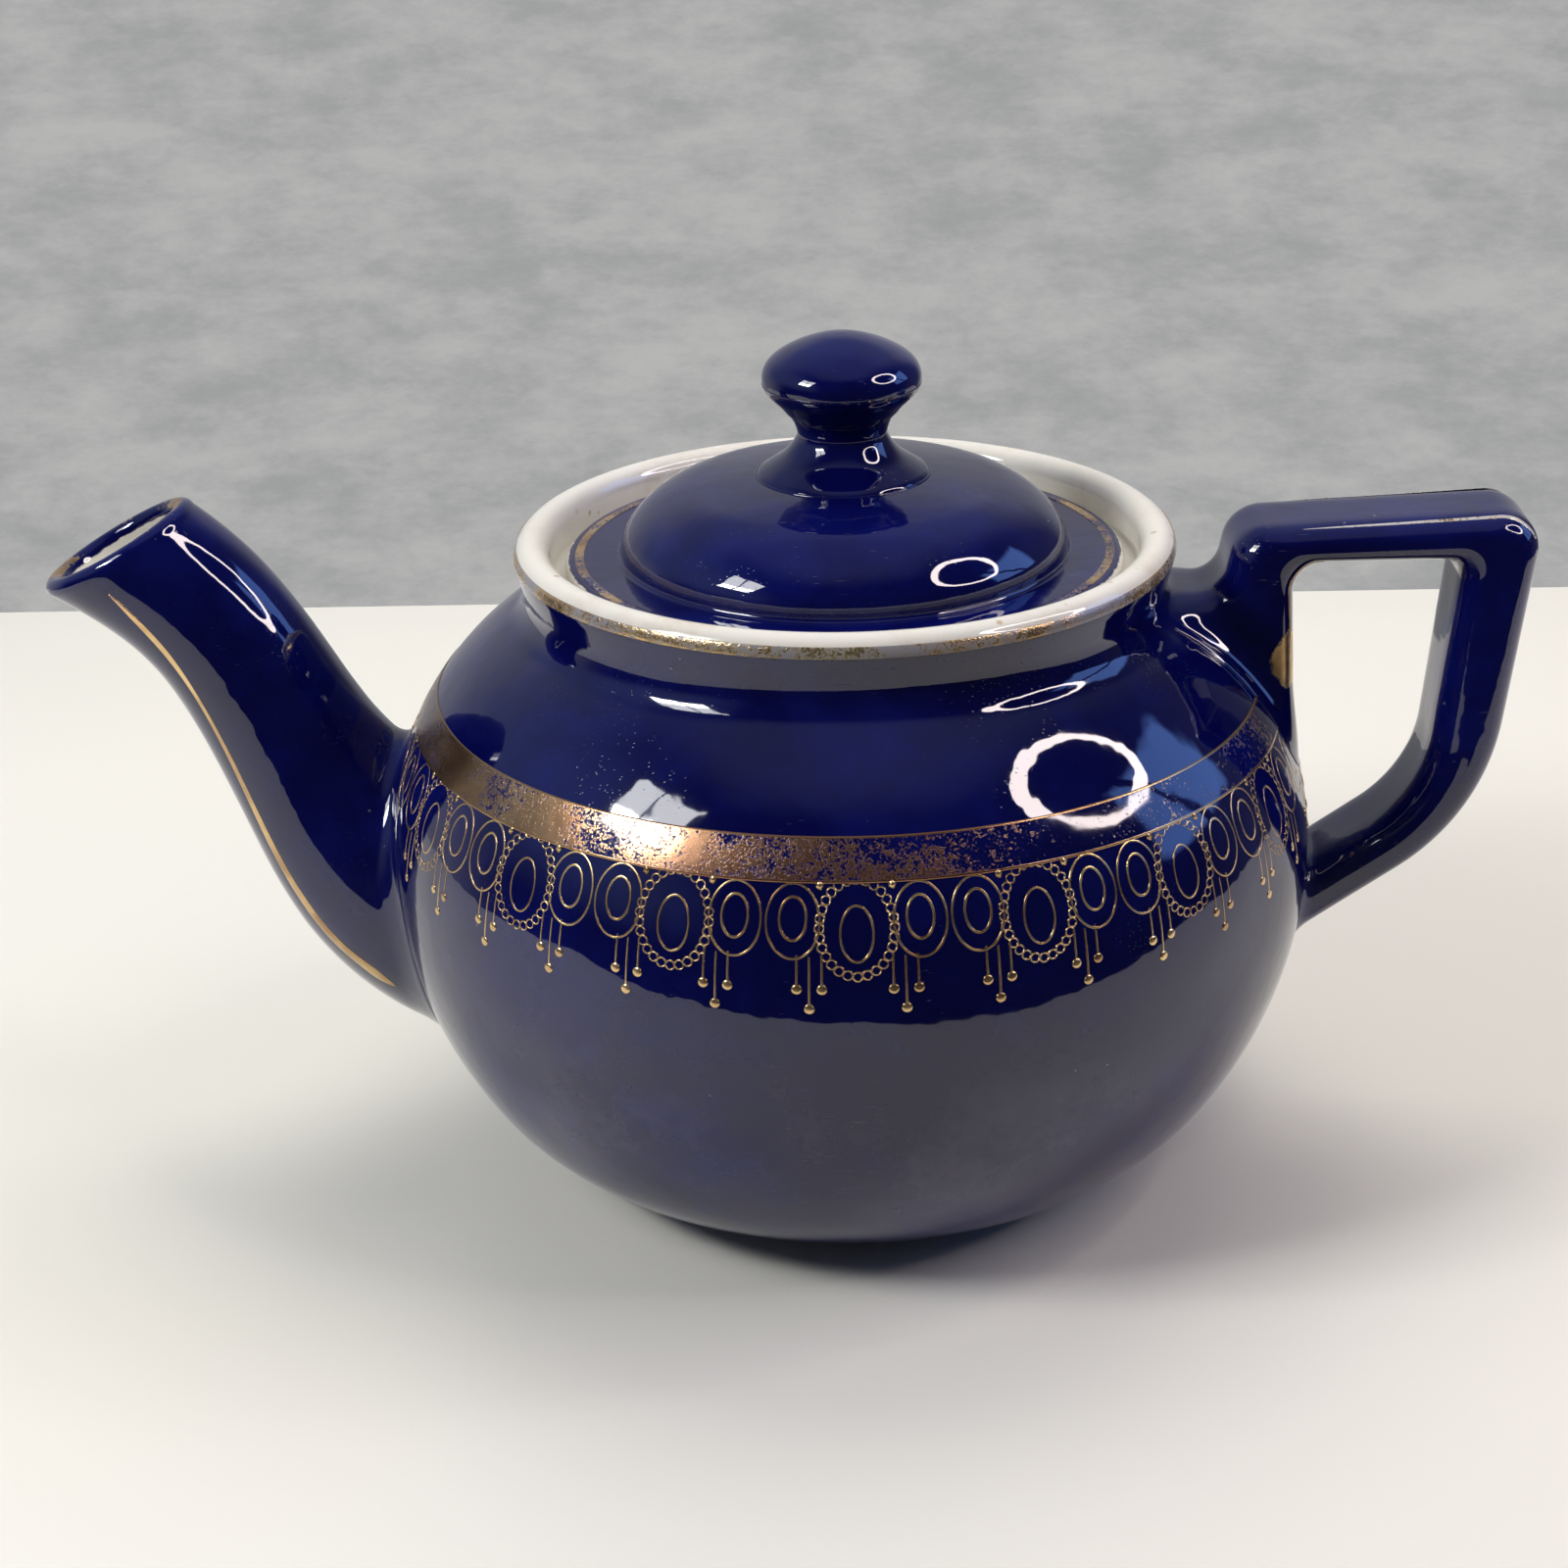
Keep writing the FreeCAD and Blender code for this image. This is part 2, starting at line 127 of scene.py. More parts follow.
# Tints over the glaze: dust in specks and scratches, a pale film low on the belly, painted shade in
# a seam's crease
DUST = (0.62, 0.60, 0.58)
PALE_LOW_FILM = (0.44, 0.42, 0.44)
SEAM_PAINTED_SHADE = (0.002, 0.002, 0.02)
# Heights between which that film comes in, going down (m)
FILM_START = 0.058
FILM_FULL = 0.026
# Tints over the gold: its lustre, the browner gold of the shoulder band, and painted dark
# reflection on that band
RED_LUSTRE = (0.62, 0.30, 0.22)
GREEN_LUSTRE = (0.42, 0.46, 0.26)
BAND_BROWN = (0.26, 0.15, 0.06)
# Copper red for the band's middle, partly painted dark reflection
BAND_RED_AND_PAINTED_DARK = (0.36, 0.16, 0.10)
# Painted dark reflection for the band's spout end
BAND_PAINTED_DARK_REFLECTION = (0.17, 0.10, 0.05)

# The photograph's viewpoint: its turn, pitch and roll in radians, its place in metres
CAMERA_TURN, CAMERA_PITCH, CAMERA_ROLL = -0.0235251, 0.4038008, -0.0241820
CAMERA_PLACE = (0.0, -0.44206, 0.25056)
CAMERA_LENS = 67.5
CAMERA_SENSOR = 36
CAMERA_NEAR = 0.02


def length(label, text, mm):
    """A property for a size, given in millimetres."""
    return bpy.props.FloatProperty(
        name=label, description=text, default=mm * MM, precision=5, unit="LENGTH")


def turn(label, text, degrees):
    """A property for an angle, given in degrees."""
    return bpy.props.FloatProperty(
        name=label, description=text, default=math.radians(degrees), unit="ROTATION")


def number(label, text, count):
    """A property for how many there are of something."""
    return bpy.props.IntProperty(name=label, description=text, default=count, min=1)


def tint(label, text, rgb):
    """A property for a colour."""
    return bpy.props.FloatVectorProperty(
        name=label, description=text, default=rgb, size=3, subtype="COLOR", min=0.0, max=1.0)


class PotSizes(bpy.types.PropertyGroup):
    """The thrown pot."""
    belly_radius: length("Belly radius", "Outside radius at the widest line", 74.49)
    belly_height: length("Belly height", "Height of the widest line", 54.0)
    shoulder_arc: length("Shoulder arc", "Radius of the curve above the widest line", 45.5)
    flank_arc: length("Flank arc", "Radius of the curve below the widest line", 66.0)
    flank_sweep: turn("Flank sweep", "How far round the flank's curve goes", 34.5)
    heel_arc: length("Heel arc", "Radius of the curve down to the foot", 34.0)
    wall: length("Wall", "Thickness of the clay", 4.0)
    foot_radius: length("Foot radius", "Outside radius of the foot ring", 41.0)
    foot_width: length("Foot width", "Width of the foot ring", 5.0)
    foot_recess: length("Foot recess", "Depth of the hollow inside the foot ring", 2.5)
    collar_radius: length(
        "Collar radius", "Outside radius where the collar leaves the shoulder", 50.0)
    collar_flare: length("Collar flare", "How much the collar widens up to its lip", 2.0)
    collar_rise: length("Collar rise", "Height of the collar", 11.5)
    lip: length("Lip", "Thickness of the rolled lip", 5.5)
    ledge: length("Ledge", "Width of the ledge that carries the lid", 8.0)
    strainer_hole: length("Strainer hole", "Width of a hole behind the spout", 6.0)
    strainer_pitch: length("Strainer pitch", "Distance of the holes from the middle one", 9.0)
    strainer_count: number("Strainer holes", "Holes round the middle one", 6)
    strainer_drop: length("Strainer drop", "How far the holes lie below the widest line", 6.0)


class SpoutSizes(bpy.types.PropertyGroup):
    """The hollow spout."""
    wall: length("Wall", "Thickness of the clay", 3.2)
    mouth_out: length("Mouth out", "Middle of the mouth, out from the belly", 43.0)
    mouth_up: length("Mouth up", "Middle of the mouth, above the widest line", 50.5)
    mouth_tilt: turn("Mouth tilt", "Slant of the mouth", 28.0)
    lip: length("Lip", "Height of the rounded lip", 1.7)
    fillet: length("Fillet", "Hollow curve of glaze round the root", 3.2)


class HandleSizes(bpy.types.PropertyGroup):
    """The square bar of the handle."""
    width: length("Width", "Width of the bar from side to side", 20.0)
    edge: length("Edge", "Rounding of the bar's long edges, measured across the bar", 5.4)
    reach: length("Reach", "How far the handle stands out from the belly", 34.4)
    top: length("Top", "Height of the top above the lip", 2.5)
    top_fall: length("Top fall", "How much lower the top is at the collar", 2.2)
    top_depth: length("Top depth", "Depth of the top bar", 7.7)
    grip_depth: length("Grip depth", "Depth of the upright bar", 12.6)
    grip_lean: length("Grip lean", "How much the upright bar leans in", 6.3)
    limb_gap: length("Limb gap", "Gap between the lip and the front limb", 7.0)
    limb_depth: length("Limb depth", "Depth of the front limb", 11.0)
    limb_lean: length("Limb lean", "How much the front limb leans out", 2.0)
    web_drop: length("Web drop", "How far the web to the collar lies below the lip", 10.3)
    tail_depth: length("Tail depth", "Depth of the lower end", 8.6)
    tail_slope: turn("Tail slope", "Slope of the lower end", 34.6)
    root_fillet: length("Root fillet", "Hollow curve at the upper root", 4.6)
    tail_fillet: length("Tail fillet", "Hollow curve at the lower root", 2.4)


class LidSizes(bpy.types.PropertyGroup):
    """The lid and its knob."""
    sink: length("Sink", "How far the flange lies below the lip", 3.6)
    gap: length("Gap", "Gap between the flange and the lip", 2.5)
    flange: length("Flange", "Thickness of the flange", 3.6)
    flange_width: length("Flange width", "Width of the flange round the crown", 8.8)
    crown_arc: length("Crown arc", "Radius of the crown's curve", 136.0)
    crown_edge: length("Crown edge", "Rounding of the crown's edge in the frame", 9.5)
    crown_ease: turn("Crown ease", "Slope at which the crown starts to turn down", 10.0)
    crown_brow: turn("Crown brow", "Slope at which the crown turns down faster", 55.0)
    crown_step: length("Crown step", "Upright step between the flange and the crown", 0.9)
    wall: length("Wall", "Thickness of the clay", 4.0)
    skirt_gap: length("Skirt gap", "Gap between the skirt and the ledge", 1.5)
    skirt_wall: length("Skirt wall", "Thickness of the skirt", 3.5)
    skirt_depth: length("Skirt depth", "How far the skirt hangs below the flange", 12.0)
    steam_hole: length("Steam hole", "Width of the hole in the crown's edge", 4.5)
    steam_turn: turn("Steam turn", "Place of the hole behind the spout's line", 22.0)
    steam_lean: turn("Steam lean", "Lean of the hole", 40.0)
    steam_inset: length("Steam inset", "Place of the hole inside the crown's edge", 2.9)
    knob_foot: length("Knob foot", "Radius of the knob's foot", 13.2)
    knob_neck: length("Knob neck", "Radius of the knob's neck", 7.1)
    knob_radius: length("Knob radius", "Radius of the knob's rim", 12.4)
    knob_height: length("Knob height", "Height of the knob above the crown", 21.55)
    rim_height: length("Rim height", "Height of the knob's widest line above the crown", 14.4)


class GildingSizes(bpy.types.PropertyGroup):
    """The fired gilding."""
    film: length("Film", "How far the gilding stands up", 0.09)
    band_low: length("Band low", "Lower edge of the band above the widest line", 21.8)
    band_high: length("Band high", "Upper edge of the band above the widest line", 27.4)
    lid_line: length("Lid line", "Width of the line on the lid's flange", 1.4)
    lid_line_inset: length("Lid line inset", "Distance of that line from the flange's edge", 1.5)
    repeats: number("Repeats", "Repeats of the lace round the shoulder", 17)
    start: turn("Start", "Place of the first large oval, from the front towards the handle", 0.8)
    stroke: length("Stroke", "Width of a painted line", 0.33)
    beads: number("Beads", "Beads round a large oval", 28)
    bead: length("Bead", "Width of a bead", 1.35)
    ball: length("Ball", "Width of the ball at the end of a drop", 1.55)


class Finishes(bpy.types.PropertyGroup):
    """The colours of the glazes and the gilding."""
    cobalt: tint("Cobalt", "The glaze where it lies thick", (0.0010, 0.0016, 0.042))
    cobalt_thin: tint("Thin cobalt", "The glaze where it lies thinner", (0.0030, 0.0054, 0.088))
    white: tint("White glaze", "The glaze inside the pot and on its lip", (0.68, 0.655, 0.585))
    stain: tint("Stain", "Tea and age stains in the white glaze", (0.42, 0.29, 0.17))
    clay: tint("Bare clay", "The unglazed foot ring", (0.50, 0.42, 0.33))
    gold: tint("Gold", "The gilding", (0.80, 0.57, 0.28))
    dull_gold: tint("Dull gold", "The gilding where it is rubbed", (0.40, 0.24, 0.11))


class TeapotSettings(bpy.types.PropertyGroup):
    """All sizes and colours of the teapot."""
    pot: bpy.props.PointerProperty(type=PotSizes, name="Pot")
    spout: bpy.props.PointerProperty(type=SpoutSizes, name="Spout")
    handle: bpy.props.PointerProperty(type=HandleSizes, name="Handle")
    lid: bpy.props.PointerProperty(type=LidSizes, name="Lid")
    gilding: bpy.props.PointerProperty(type=GildingSizes, name="Gilding")
    finishes: bpy.props.PointerProperty(type=Finishes, name="Finishes")


def settings():
    """The teapot's sizes and colours in this scene."""
    return bpy.context.scene.teapot


# Outlines: rows of (radius, height) or (x, z)

def straight(start, end, step=1.5 * MM):
    """Points from one place to another, no further apart than a step."""
    count = max(3, math.ceil(math.dist(start, end) / step) + 1)
    return np.linspace(start, end, count)


def bow(middle, radius, start, end, step=1.2 * MM):
    """Points on an arc about a middle, from one angle to another."""
    count = max(6, math.ceil(abs(end - start) * radius / step) + 1)
    angles = np.linspace(start, end, count)
    return np.c_[middle[0] + radius * np.cos(angles), middle[1] + radius * np.sin(angles)]


def along(points):
    """Distance along a row of points."""
    return np.r_[0.0, np.cumsum(np.linalg.norm(np.diff(points, axis=0), axis=1))]


def shortened(points, reach, at_end):
    """A row of points with a reach taken off one end."""
    if at_end:
        return shortened(points[::-1], reach, False)[::-1]
    far = along(points)
    first = [np.interp(reach, far, points[:, axis]) for axis in range(points.shape[1])]
    return np.vstack([first, points[far > reach + 1e-9]])


def rounding(start, corner, end, count=9):
    """Points of a round bend that leaves start and arrives at end heading for the corner."""
    back = (start - corner) / np.linalg.norm(start - corner)
    ahead = (end - corner) / np.linalg.norm(end - corner)
    weight = math.sqrt(max(0.0, (1 - back @ ahead) / 2))
    share = np.linspace(0, 1, count)[1:-1, None]
    pull = 2 * weight * share * (1 - share)
    whole = (1 - share) ** 2 + pull + share ** 2
    return ((1 - share) ** 2 * start + pull * corner + share ** 2 * end) / whole


def joined(runs, eases):
    """One outline from runs that meet end to end; each meeting is rounded over its own reach.
    Gives the points and the number of the run that each belongs to."""
    rows = [np.asarray(run, float) for run in runs]
    bends = []
    for index, ease in enumerate(eases):
        corner = rows[index][-1]
        if ease > 0:
            rows[index] = shortened(rows[index], ease, True)
            rows[index + 1] = shortened(rows[index + 1], ease, False)
            bends.append(rounding(rows[index][-1], corner, rows[index + 1][0]))
        else:
            rows[index] = rows[index][:-1]
            bends.append(np.empty((0, 2)))
    bends.append(np.empty((0, 2)))
    points = []
    owners = []
    for index, (row, bend) in enumerate(zip(rows, bends)):
        points += [row, bend]
        owners += [index] * (len(row) + len(bend))
    return np.vstack(points), np.array(owners)


# Meshes

def new_piece(name, vertices, faces, marks=None):
    """A mesh object at the origin, its doubles merged and its faces turned outwards. Marks are
    values stored for each vertex."""
    mesh = bpy.data.meshes.new(name)
    mesh.from_pydata(np.asarray(vertices).tolist(), [], faces)
    for mark, values in (marks or {}).items():
        layer = mesh.attributes.new(mark, "FLOAT", "POINT")
        layer.data.foreach_set("value", np.asarray(values, np.float32))
    clean(mesh)
    piece = bpy.data.objects.new(name, mesh)
    bpy.context.scene.collection.objects.link(piece)
    return piece


def clean(mesh):
    """Merge doubles, turn the faces outwards and shade them smooth."""
    work = bmesh.new()
    work.from_mesh(mesh)
    bmesh.ops.remove_doubles(work, verts=work.verts, dist=1e-7)
    bmesh.ops.dissolve_degenerate(work, edges=work.edges, dist=1e-8)
    bmesh.ops.recalc_face_normals(work, faces=work.faces)
    for face in work.faces:
        face.smooth = True
    work.to_mesh(mesh)
    work.free()


def net(rows, columns, wrap_rows=False, wrap_columns=True):
    """The four-sided faces of a grid of vertices."""
    faces = []
    for row in range(rows if wrap_rows else rows - 1):
        here = row * columns
        ahead = (row + 1) % rows * columns
        for column in range(columns if wrap_columns else columns - 1):
            beside = (column + 1) % columns
            faces.append((here + column, here + beside, ahead + beside, ahead + column))
    return faces


def turned(name, outline, marks=None, steps=240):
    """A piece turned about the pot's axis from an outline that begins and ends on the axis."""
    angles = np.arange(steps) * 2 * math.pi / steps
    ways = np.c_[np.cos(angles), np.sin(angles), np.zeros(steps)]
    vertices = outline[:, None, :1] * ways + outline[:, None, 1:] * UP
    spread = {mark: np.repeat(values, steps) for mark, values in (marks or {}).items()}
    return new_piece(name, vertices.reshape(-1, 3), net(len(outline), steps), spread)


def hoop(name, outline, marks=None, steps=360, start=0.0, sweep=2 * math.pi):
    """A closed film about the pot's axis from a closed outline, whole or with a gap."""
    whole = sweep > 2 * math.pi - 1e-6
    angles = start + np.linspace(0, sweep, steps, endpoint=not whole)
    ways = np.c_[np.cos(angles), np.sin(angles), np.zeros(steps)]
    vertices = ways[:, None, :] * outline[None, :, :1] + UP * outline[None, :, 1:]
    count = len(outline)
    faces = net(steps, count, wrap_rows=whole)
    if not whole:
        faces += [tuple(range(count)), tuple(range((steps - 1) * count, steps * count))]
    spread = {mark: np.tile(values, steps) for mark, values in (marks or {}).items()}
    return new_piece(name, vertices.reshape(-1, 3), faces, spread)


def film(outer, thickness):
    """A closed outline of a film: its outer face and, a thickness inside, its inner face."""
    ahead = np.gradient(outer, axis=0)
    side = np.c_[ahead[:, 1], -ahead[:, 0]]
    side /= np.linalg.norm(side, axis=1)[:, None]
    return np.vstack([outer, (outer - side * thickness)[::-1]])


def ribbon(name, path, outward, half_widths, bulge, surface_radius):
    """A painted stroke: a thin domed strip that lies on a surface along a path."""
    ahead = np.gradient(path, axis=0)
    ahead /= np.linalg.norm(ahead, axis=1)[:, None]
    side = np.cross(ahead, outward)
    side /= np.linalg.norm(side, axis=1)[:, None]
    across = np.array((-1.0, -0.8, -0.4, 0.0, 0.4, 0.8, 1.0, 0.5, -0.5))
    height = np.array((-0.5, 0.45, 0.9, 1.0, 0.9, 0.45, -0.5, -1.2, -1.2)) * bulge
    offset = across[None, :] * half_widths[:, None]
    lift = height[None, :] - offset ** 2 / (2 * surface_radius)
    aside = side[:, None] * offset[..., None]
    vertices = path[:, None] + aside + outward[:, None] * lift[..., None]
    count = len(across)
    rows = len(path)
    faces = net(rows, count)
    faces += [tuple(range(count)), tuple(range((rows - 1) * count, rows * count))]
    return new_piece(name, vertices.reshape(-1, 3), faces)


def drilled(piece, drills):
    """Cut round holes in a piece. Each drill is a middle, a direction, a width and a length."""
    cutters = []
    for middle, way, width, depth in drills:
        mesh = bpy.data.meshes.new("drill")
        work = bmesh.new()
        bmesh.ops.create_cone(
            work, cap_ends=True, segments=40, radius1=width / 2, radius2=width / 2, depth=depth)
        work.to_mesh(mesh)
        work.free()
        turned_to = Vector(way).to_track_quat("Z", "Y").to_matrix().to_4x4()
        mesh.transform(Matrix.Translation(Vector(middle)) @ turned_to)
        cutter = bpy.data.objects.new("drill", mesh)
        bpy.context.scene.collection.objects.link(cutter)
        cutters.append(cutter)
        cut = piece.modifiers.new("drill", "BOOLEAN")
        cut.operation = "DIFFERENCE"
        cut.solver = "EXACT"
        cut.object = cutter
    settle(piece)
    for cutter in cutters:
        mesh = cutter.data
        bpy.data.objects.remove(cutter)
        bpy.data.meshes.remove(mesh)
    for face in piece.data.polygons:
        face.use_smooth = True
    piece.data.set_sharp_from_angle(angle=math.radians(38))


def settle(piece):
    """Make what a piece's modifiers give its plain mesh, and take the modifiers off."""
    graph = bpy.context.evaluated_depsgraph_get()
    graph.update()
    made = bpy.data.meshes.new_from_object(piece.evaluated_get(graph))
    piece.modifiers.clear()
    old = piece.data
    piece.data = made
    made.name = piece.name
    bpy.data.meshes.remove(old)


def finished(piece, body, material, nodes=()):
    """Give a piece its finish, tie it to its body and hide the nodes that it stands for."""
    piece.data.materials.clear()
    piece.data.materials.append(material)
    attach(piece, body)
    if nodes:
        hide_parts(*nodes)


# Forms shared by several pieces

class PotForm:
    """The pot's outline, worked out from its sizes."""

    def __init__(self):
        pot = settings().pot
        lid = settings().lid
        self.pot = pot
        self.shoulder = np.array((pot.belly_radius - pot.shoulder_arc, pot.belly_height))
        self.flank = np.array((pot.belly_radius - pot.flank_arc, pot.belly_height))
        short = pot.flank_arc - pot.heel_arc
        sweep = pot.flank_sweep
        self.heel = self.flank + short * np.array((math.cos(sweep), -math.sin(sweep)))
        self.crease = self.shoulder_z(pot.collar_radius, 0.0)
        self.lip_radius = pot.collar_radius + pot.collar_flare
        self.lip_inner = self.lip_radius - pot.lip
        self.lip_top = self.crease + pot.collar_rise
        self.lip_middle = np.array((self.lip_radius - pot.lip / 2, self.lip_top - pot.lip / 2))
        self.mouth = self.lip_inner - pot.ledge
        self.flange_top = self.lip_top - lid.sink
        self.ledge = self.flange_top - lid.flange
        self.flange_radius = self.lip_inner - lid.gap
        self.crown_radius = self.flange_radius - lid.flange_width
        self.crown_bend = np.array(
            (self.crown_radius - lid.crown_edge, self.flange_top + lid.crown_step))
        inner = lid.crown_arc - lid.crown_edge
        self.crown_middle = self.crown_bend[1] - math.sqrt(inner ** 2 - self.crown_bend[0] ** 2)
        self.crown_top = self.crown_middle + lid.crown_arc

    def shoulder_z(self, radius, grow):
        """Height of the shoulder at a radius, with a skin of some thickness on it."""
        reach = self.pot.shoulder_arc + grow
        return self.shoulder[1] + math.sqrt(reach ** 2 - (radius - self.shoulder[0]) ** 2)

    def belly(self, low, high, grow):
        """The belly's three arcs, from the heel's lower angle up to the shoulder's upper angle."""
        pot = self.pot
        return [
            bow(self.heel, pot.heel_arc + grow, low, -pot.flank_sweep),
            bow(self.flank, pot.flank_arc + grow, -pot.flank_sweep, 0.0),
            bow(self.shoulder, pot.shoulder_arc + grow, 0.0, high),
        ]

    def gap(self, points):
        """Distance of points from the pot's outside, less than nothing inside it."""
        pot = self.pot
        radius = np.hypot(points[..., 0], points[..., 1])
        height = points[..., 2]
        over = np.hypot(radius - self.shoulder[0], height - self.shoulder[1]) - pot.shoulder_arc
        side = np.hypot(radius - self.flank[0], height - self.flank[1]) - pot.flank_arc
        under = np.hypot(radius - self.heel[0], height - self.heel[1]) - pot.heel_arc
        drop = np.arctan2(self.flank[1] - height, radius - self.flank[0])
        low = np.where(drop < pot.flank_sweep, side, under)
        belly = np.where(height >= pot.belly_height, over, low)
        lean = math.atan2(pot.collar_flare, self.lip_middle[1] - self.crease)
        wall = (radius - pot.collar_radius) * math.cos(lean)
        wall = wall - (height - self.crease) * math.sin(lean)
        return np.where(height > self.crease - 8 * MM, np.minimum(belly, wall), belly)

    def away(self, points):
        """Directions straight out of the pot's surface."""
        tiny = 0.05 * MM
        slope = [self.gap(points + step) - self.gap(points - step) for step in np.eye(3) * tiny]
        slope = np.stack(slope, -1)
        return slope / np.linalg.norm(slope, axis=-1, keepdims=True)

    def filleted(self, points, outward, fillet):
        """A wall that meets the pot, swelled into a hollow fillet that runs out on the pot."""
        gaps = self.gap(points)
        wide = np.broadcast_to(fillet, gaps.shape)
        inside = np.clip(wide - gaps, 0.0, wide)
        push = wide - np.sqrt(np.maximum(wide ** 2 - inside ** 2, 0.0))
        spread = points + outward * push[..., None]
        lift = (self.gap(spread) - gaps) * np.clip(1 - gaps / wide, 0.0, 1.0)
        return spread - self.away(spread) * lift[..., None]

    def seam(self, grid, outward, place, fillet):
        """The line on the pot where such a fillet runs out, for a wall that meets the pot at a
        place in its grid."""
        points = read_rows(grid, place[None])[0]
        spread = points + read_rows(outward, place[None])[0] * fillet
        return spread - self.away(spread) * (self.gap(spread) + 0.1 * MM)[..., None]


def smooth_through(knots, values, wanted):
    """A natural cubic curve through rows of values, read at the wanted places."""
    gaps = np.diff(knots)
    slopes = np.diff(values, axis=0) / gaps[:, None]
    count = len(knots)
    system = np.eye(count)
    right = np.zeros_like(values)
    for index in range(1, count - 1):
        before, after = gaps[index - 1], gaps[index]
        system[index, index - 1:index + 2] = before, 2 * (before + after), after
        right[index] = 6 * (slopes[index] - slopes[index - 1])
    bends = np.linalg.solve(system, right)
    place = np.clip(np.searchsorted(knots, wanted) - 1, 0, count - 2)
    gap = gaps[place][:, None]
    near = (knots[place + 1] - wanted)[:, None] / gap
    far = 1 - near
    curve = (near ** 3 - near) * bends[place] + (far ** 3 - far) * bends[place + 1]
    return near * values[place] + far * values[place + 1] + curve * gap ** 2 / 6


class SpoutForm:
    """The spout's skin, worked out from its stations."""

    def __init__(self):
        pot = settings().pot
        table = np.array(SPOUT_STATIONS)
        self.values = np.c_[
            -(pot.belly_radius + table[:, 0] * MM),
            pot.belly_height + table[:, 1] * MM,
            table[:, 2] * MM,
            np.radians(table[:, 3]),
        ]
        self.knots = along(self.values[:, :2])
        self.places = np.linspace(0, self.knots[-1], 700)
        self.turns = np.arange(112) * 2 * math.pi / 112
        sizes = settings().spout
        tilt = sizes.mouth_tilt
        self.plane = np.array((-math.sin(tilt), 0.0, math.cos(tilt)))
        self.mouth = np.array(
            (-(pot.belly_radius + sizes.mouth_out), 0.0, pot.belly_height + sizes.mouth_up))

    def skin(self, places, turns, inset):
        """Points of the skin and their outward directions at places along the spout and turns
        round it; a turn counts from the +Y side over the top."""
        x, z, radius, climb = smooth_through(self.knots, self.values, np.atleast_1d(places)).T
        turns = np.broadcast_to(turns, (len(x), np.shape(turns)[-1]))
        over = np.c_[np.sin(climb), np.zeros(len(x)), np.cos(climb)]
        outward = np.sin(turns)[..., None] * over[:, None]
        outward[..., 1] += np.cos(turns)
        middle = np.c_[x, np.zeros(len(x)), z]
        return middle[:, None] + (radius - inset)[:, None, None] * outward, outward

    def whole(self, form, inset):
        """The whole skin, its outward directions and its distance from the pot, from which the
        free end counts as far away."""
        grid, outward = self.skin(self.places, self.turns, inset)
        gaps = form.gap(grid)
        gaps[self.places > 0.6 * self.knots[-1]] = 1.0
        return grid, outward, gaps

    def trimmed(self, form, inset, rows):
        """The skin from a little inside the pot up to the lip, and its outward directions."""
        grid, outward, gaps = self.whole(form, inset)
        end = crossing((grid - self.mouth) @ self.plane + settings().spout.lip, True)
        start = crossing(gaps + SUNK * MM, False)
        share = np.linspace(0, 1, rows)[:, None] ** 1.15
        wanted = start + (end - start) * share
        return read_rows(grid, wanted), read_rows(outward, wanted)


def crossing(values, first):
    """For each column of values, the place where they first or last pass nothing, as a row number
    with a fraction."""
    below = values < 0
    change = below[:-1] != below[1:]
    count = len(change)
    row = np.argmax(change, axis=0) if first else count - 1 - np.argmax(change[::-1], axis=0)
    column = np.arange(values.shape[1])
    here = values[row, column]
    after = values[row + 1, column]
    if not change.any(axis=0).all():
        raise RuntimeError("A column of the mesh never meets the surface that trims it")
    return row + here / (here - after)


def read_rows(grid, places):
    """Points of a grid at fractional row numbers, one row of them for each column."""
    low = np.clip(np.floor(places).astype(int), 0, len(grid) - 2)
    share = (places - low)[..., None]
    column = np.arange(grid.shape[1])
    return grid[low, column] * (1 - share) + grid[low + 1, column] * share


# Node trees

def sign(operation, swapped=False):
    """One of Python's signs on a wire: it adds a Math node for the wire and the value beside it."""
    def work(wire, other):
        return wire.math(operation, *((other, wire) if swapped else (wire, other)))
    return work


class Wire:
    """An output in a node tree. Arithmetic on it adds Math nodes."""
    __add__ = sign("ADD")
    __radd__ = sign("ADD", swapped=True)
    __sub__ = sign("SUBTRACT")
    __rsub__ = sign("SUBTRACT", swapped=True)
    __mul__ = sign("MULTIPLY")
    __rmul__ = sign("MULTIPLY", swapped=True)
    __truediv__ = sign("DIVIDE")
    __rtruediv__ = sign("DIVIDE", swapped=True)
    __pow__ = sign("POWER")
    __rpow__ = sign("POWER", swapped=True)
    __gt__ = sign("GREATER_THAN")
    __lt__ = sign("LESS_THAN")

    def __init__(self, bench, socket):
        self.bench = bench
        self.socket = socket

    def math(self, operation, *values):
        """A Math node on some values."""
        inputs = dict(enumerate(values))
        return self.bench.node("ShaderNodeMath", {"operation": operation}, inputs)

    def __abs__(self):
        return self.math("ABSOLUTE", self)

    def most(self, other):
        """The larger of two values."""
        return self.math("MAXIMUM", self, other)

    def span(self, low, high, start=0.0, end=1.0):
        """Read a stretch of the value as another stretch, held at both ends."""
        return self.bench.node(
            "ShaderNodeMapRange", {"clamp": True, "interpolation_type": "SMOOTHSTEP"},
            {"Value": self, "From Min": low, "From Max": high, "To Min": start, "To Max": end})


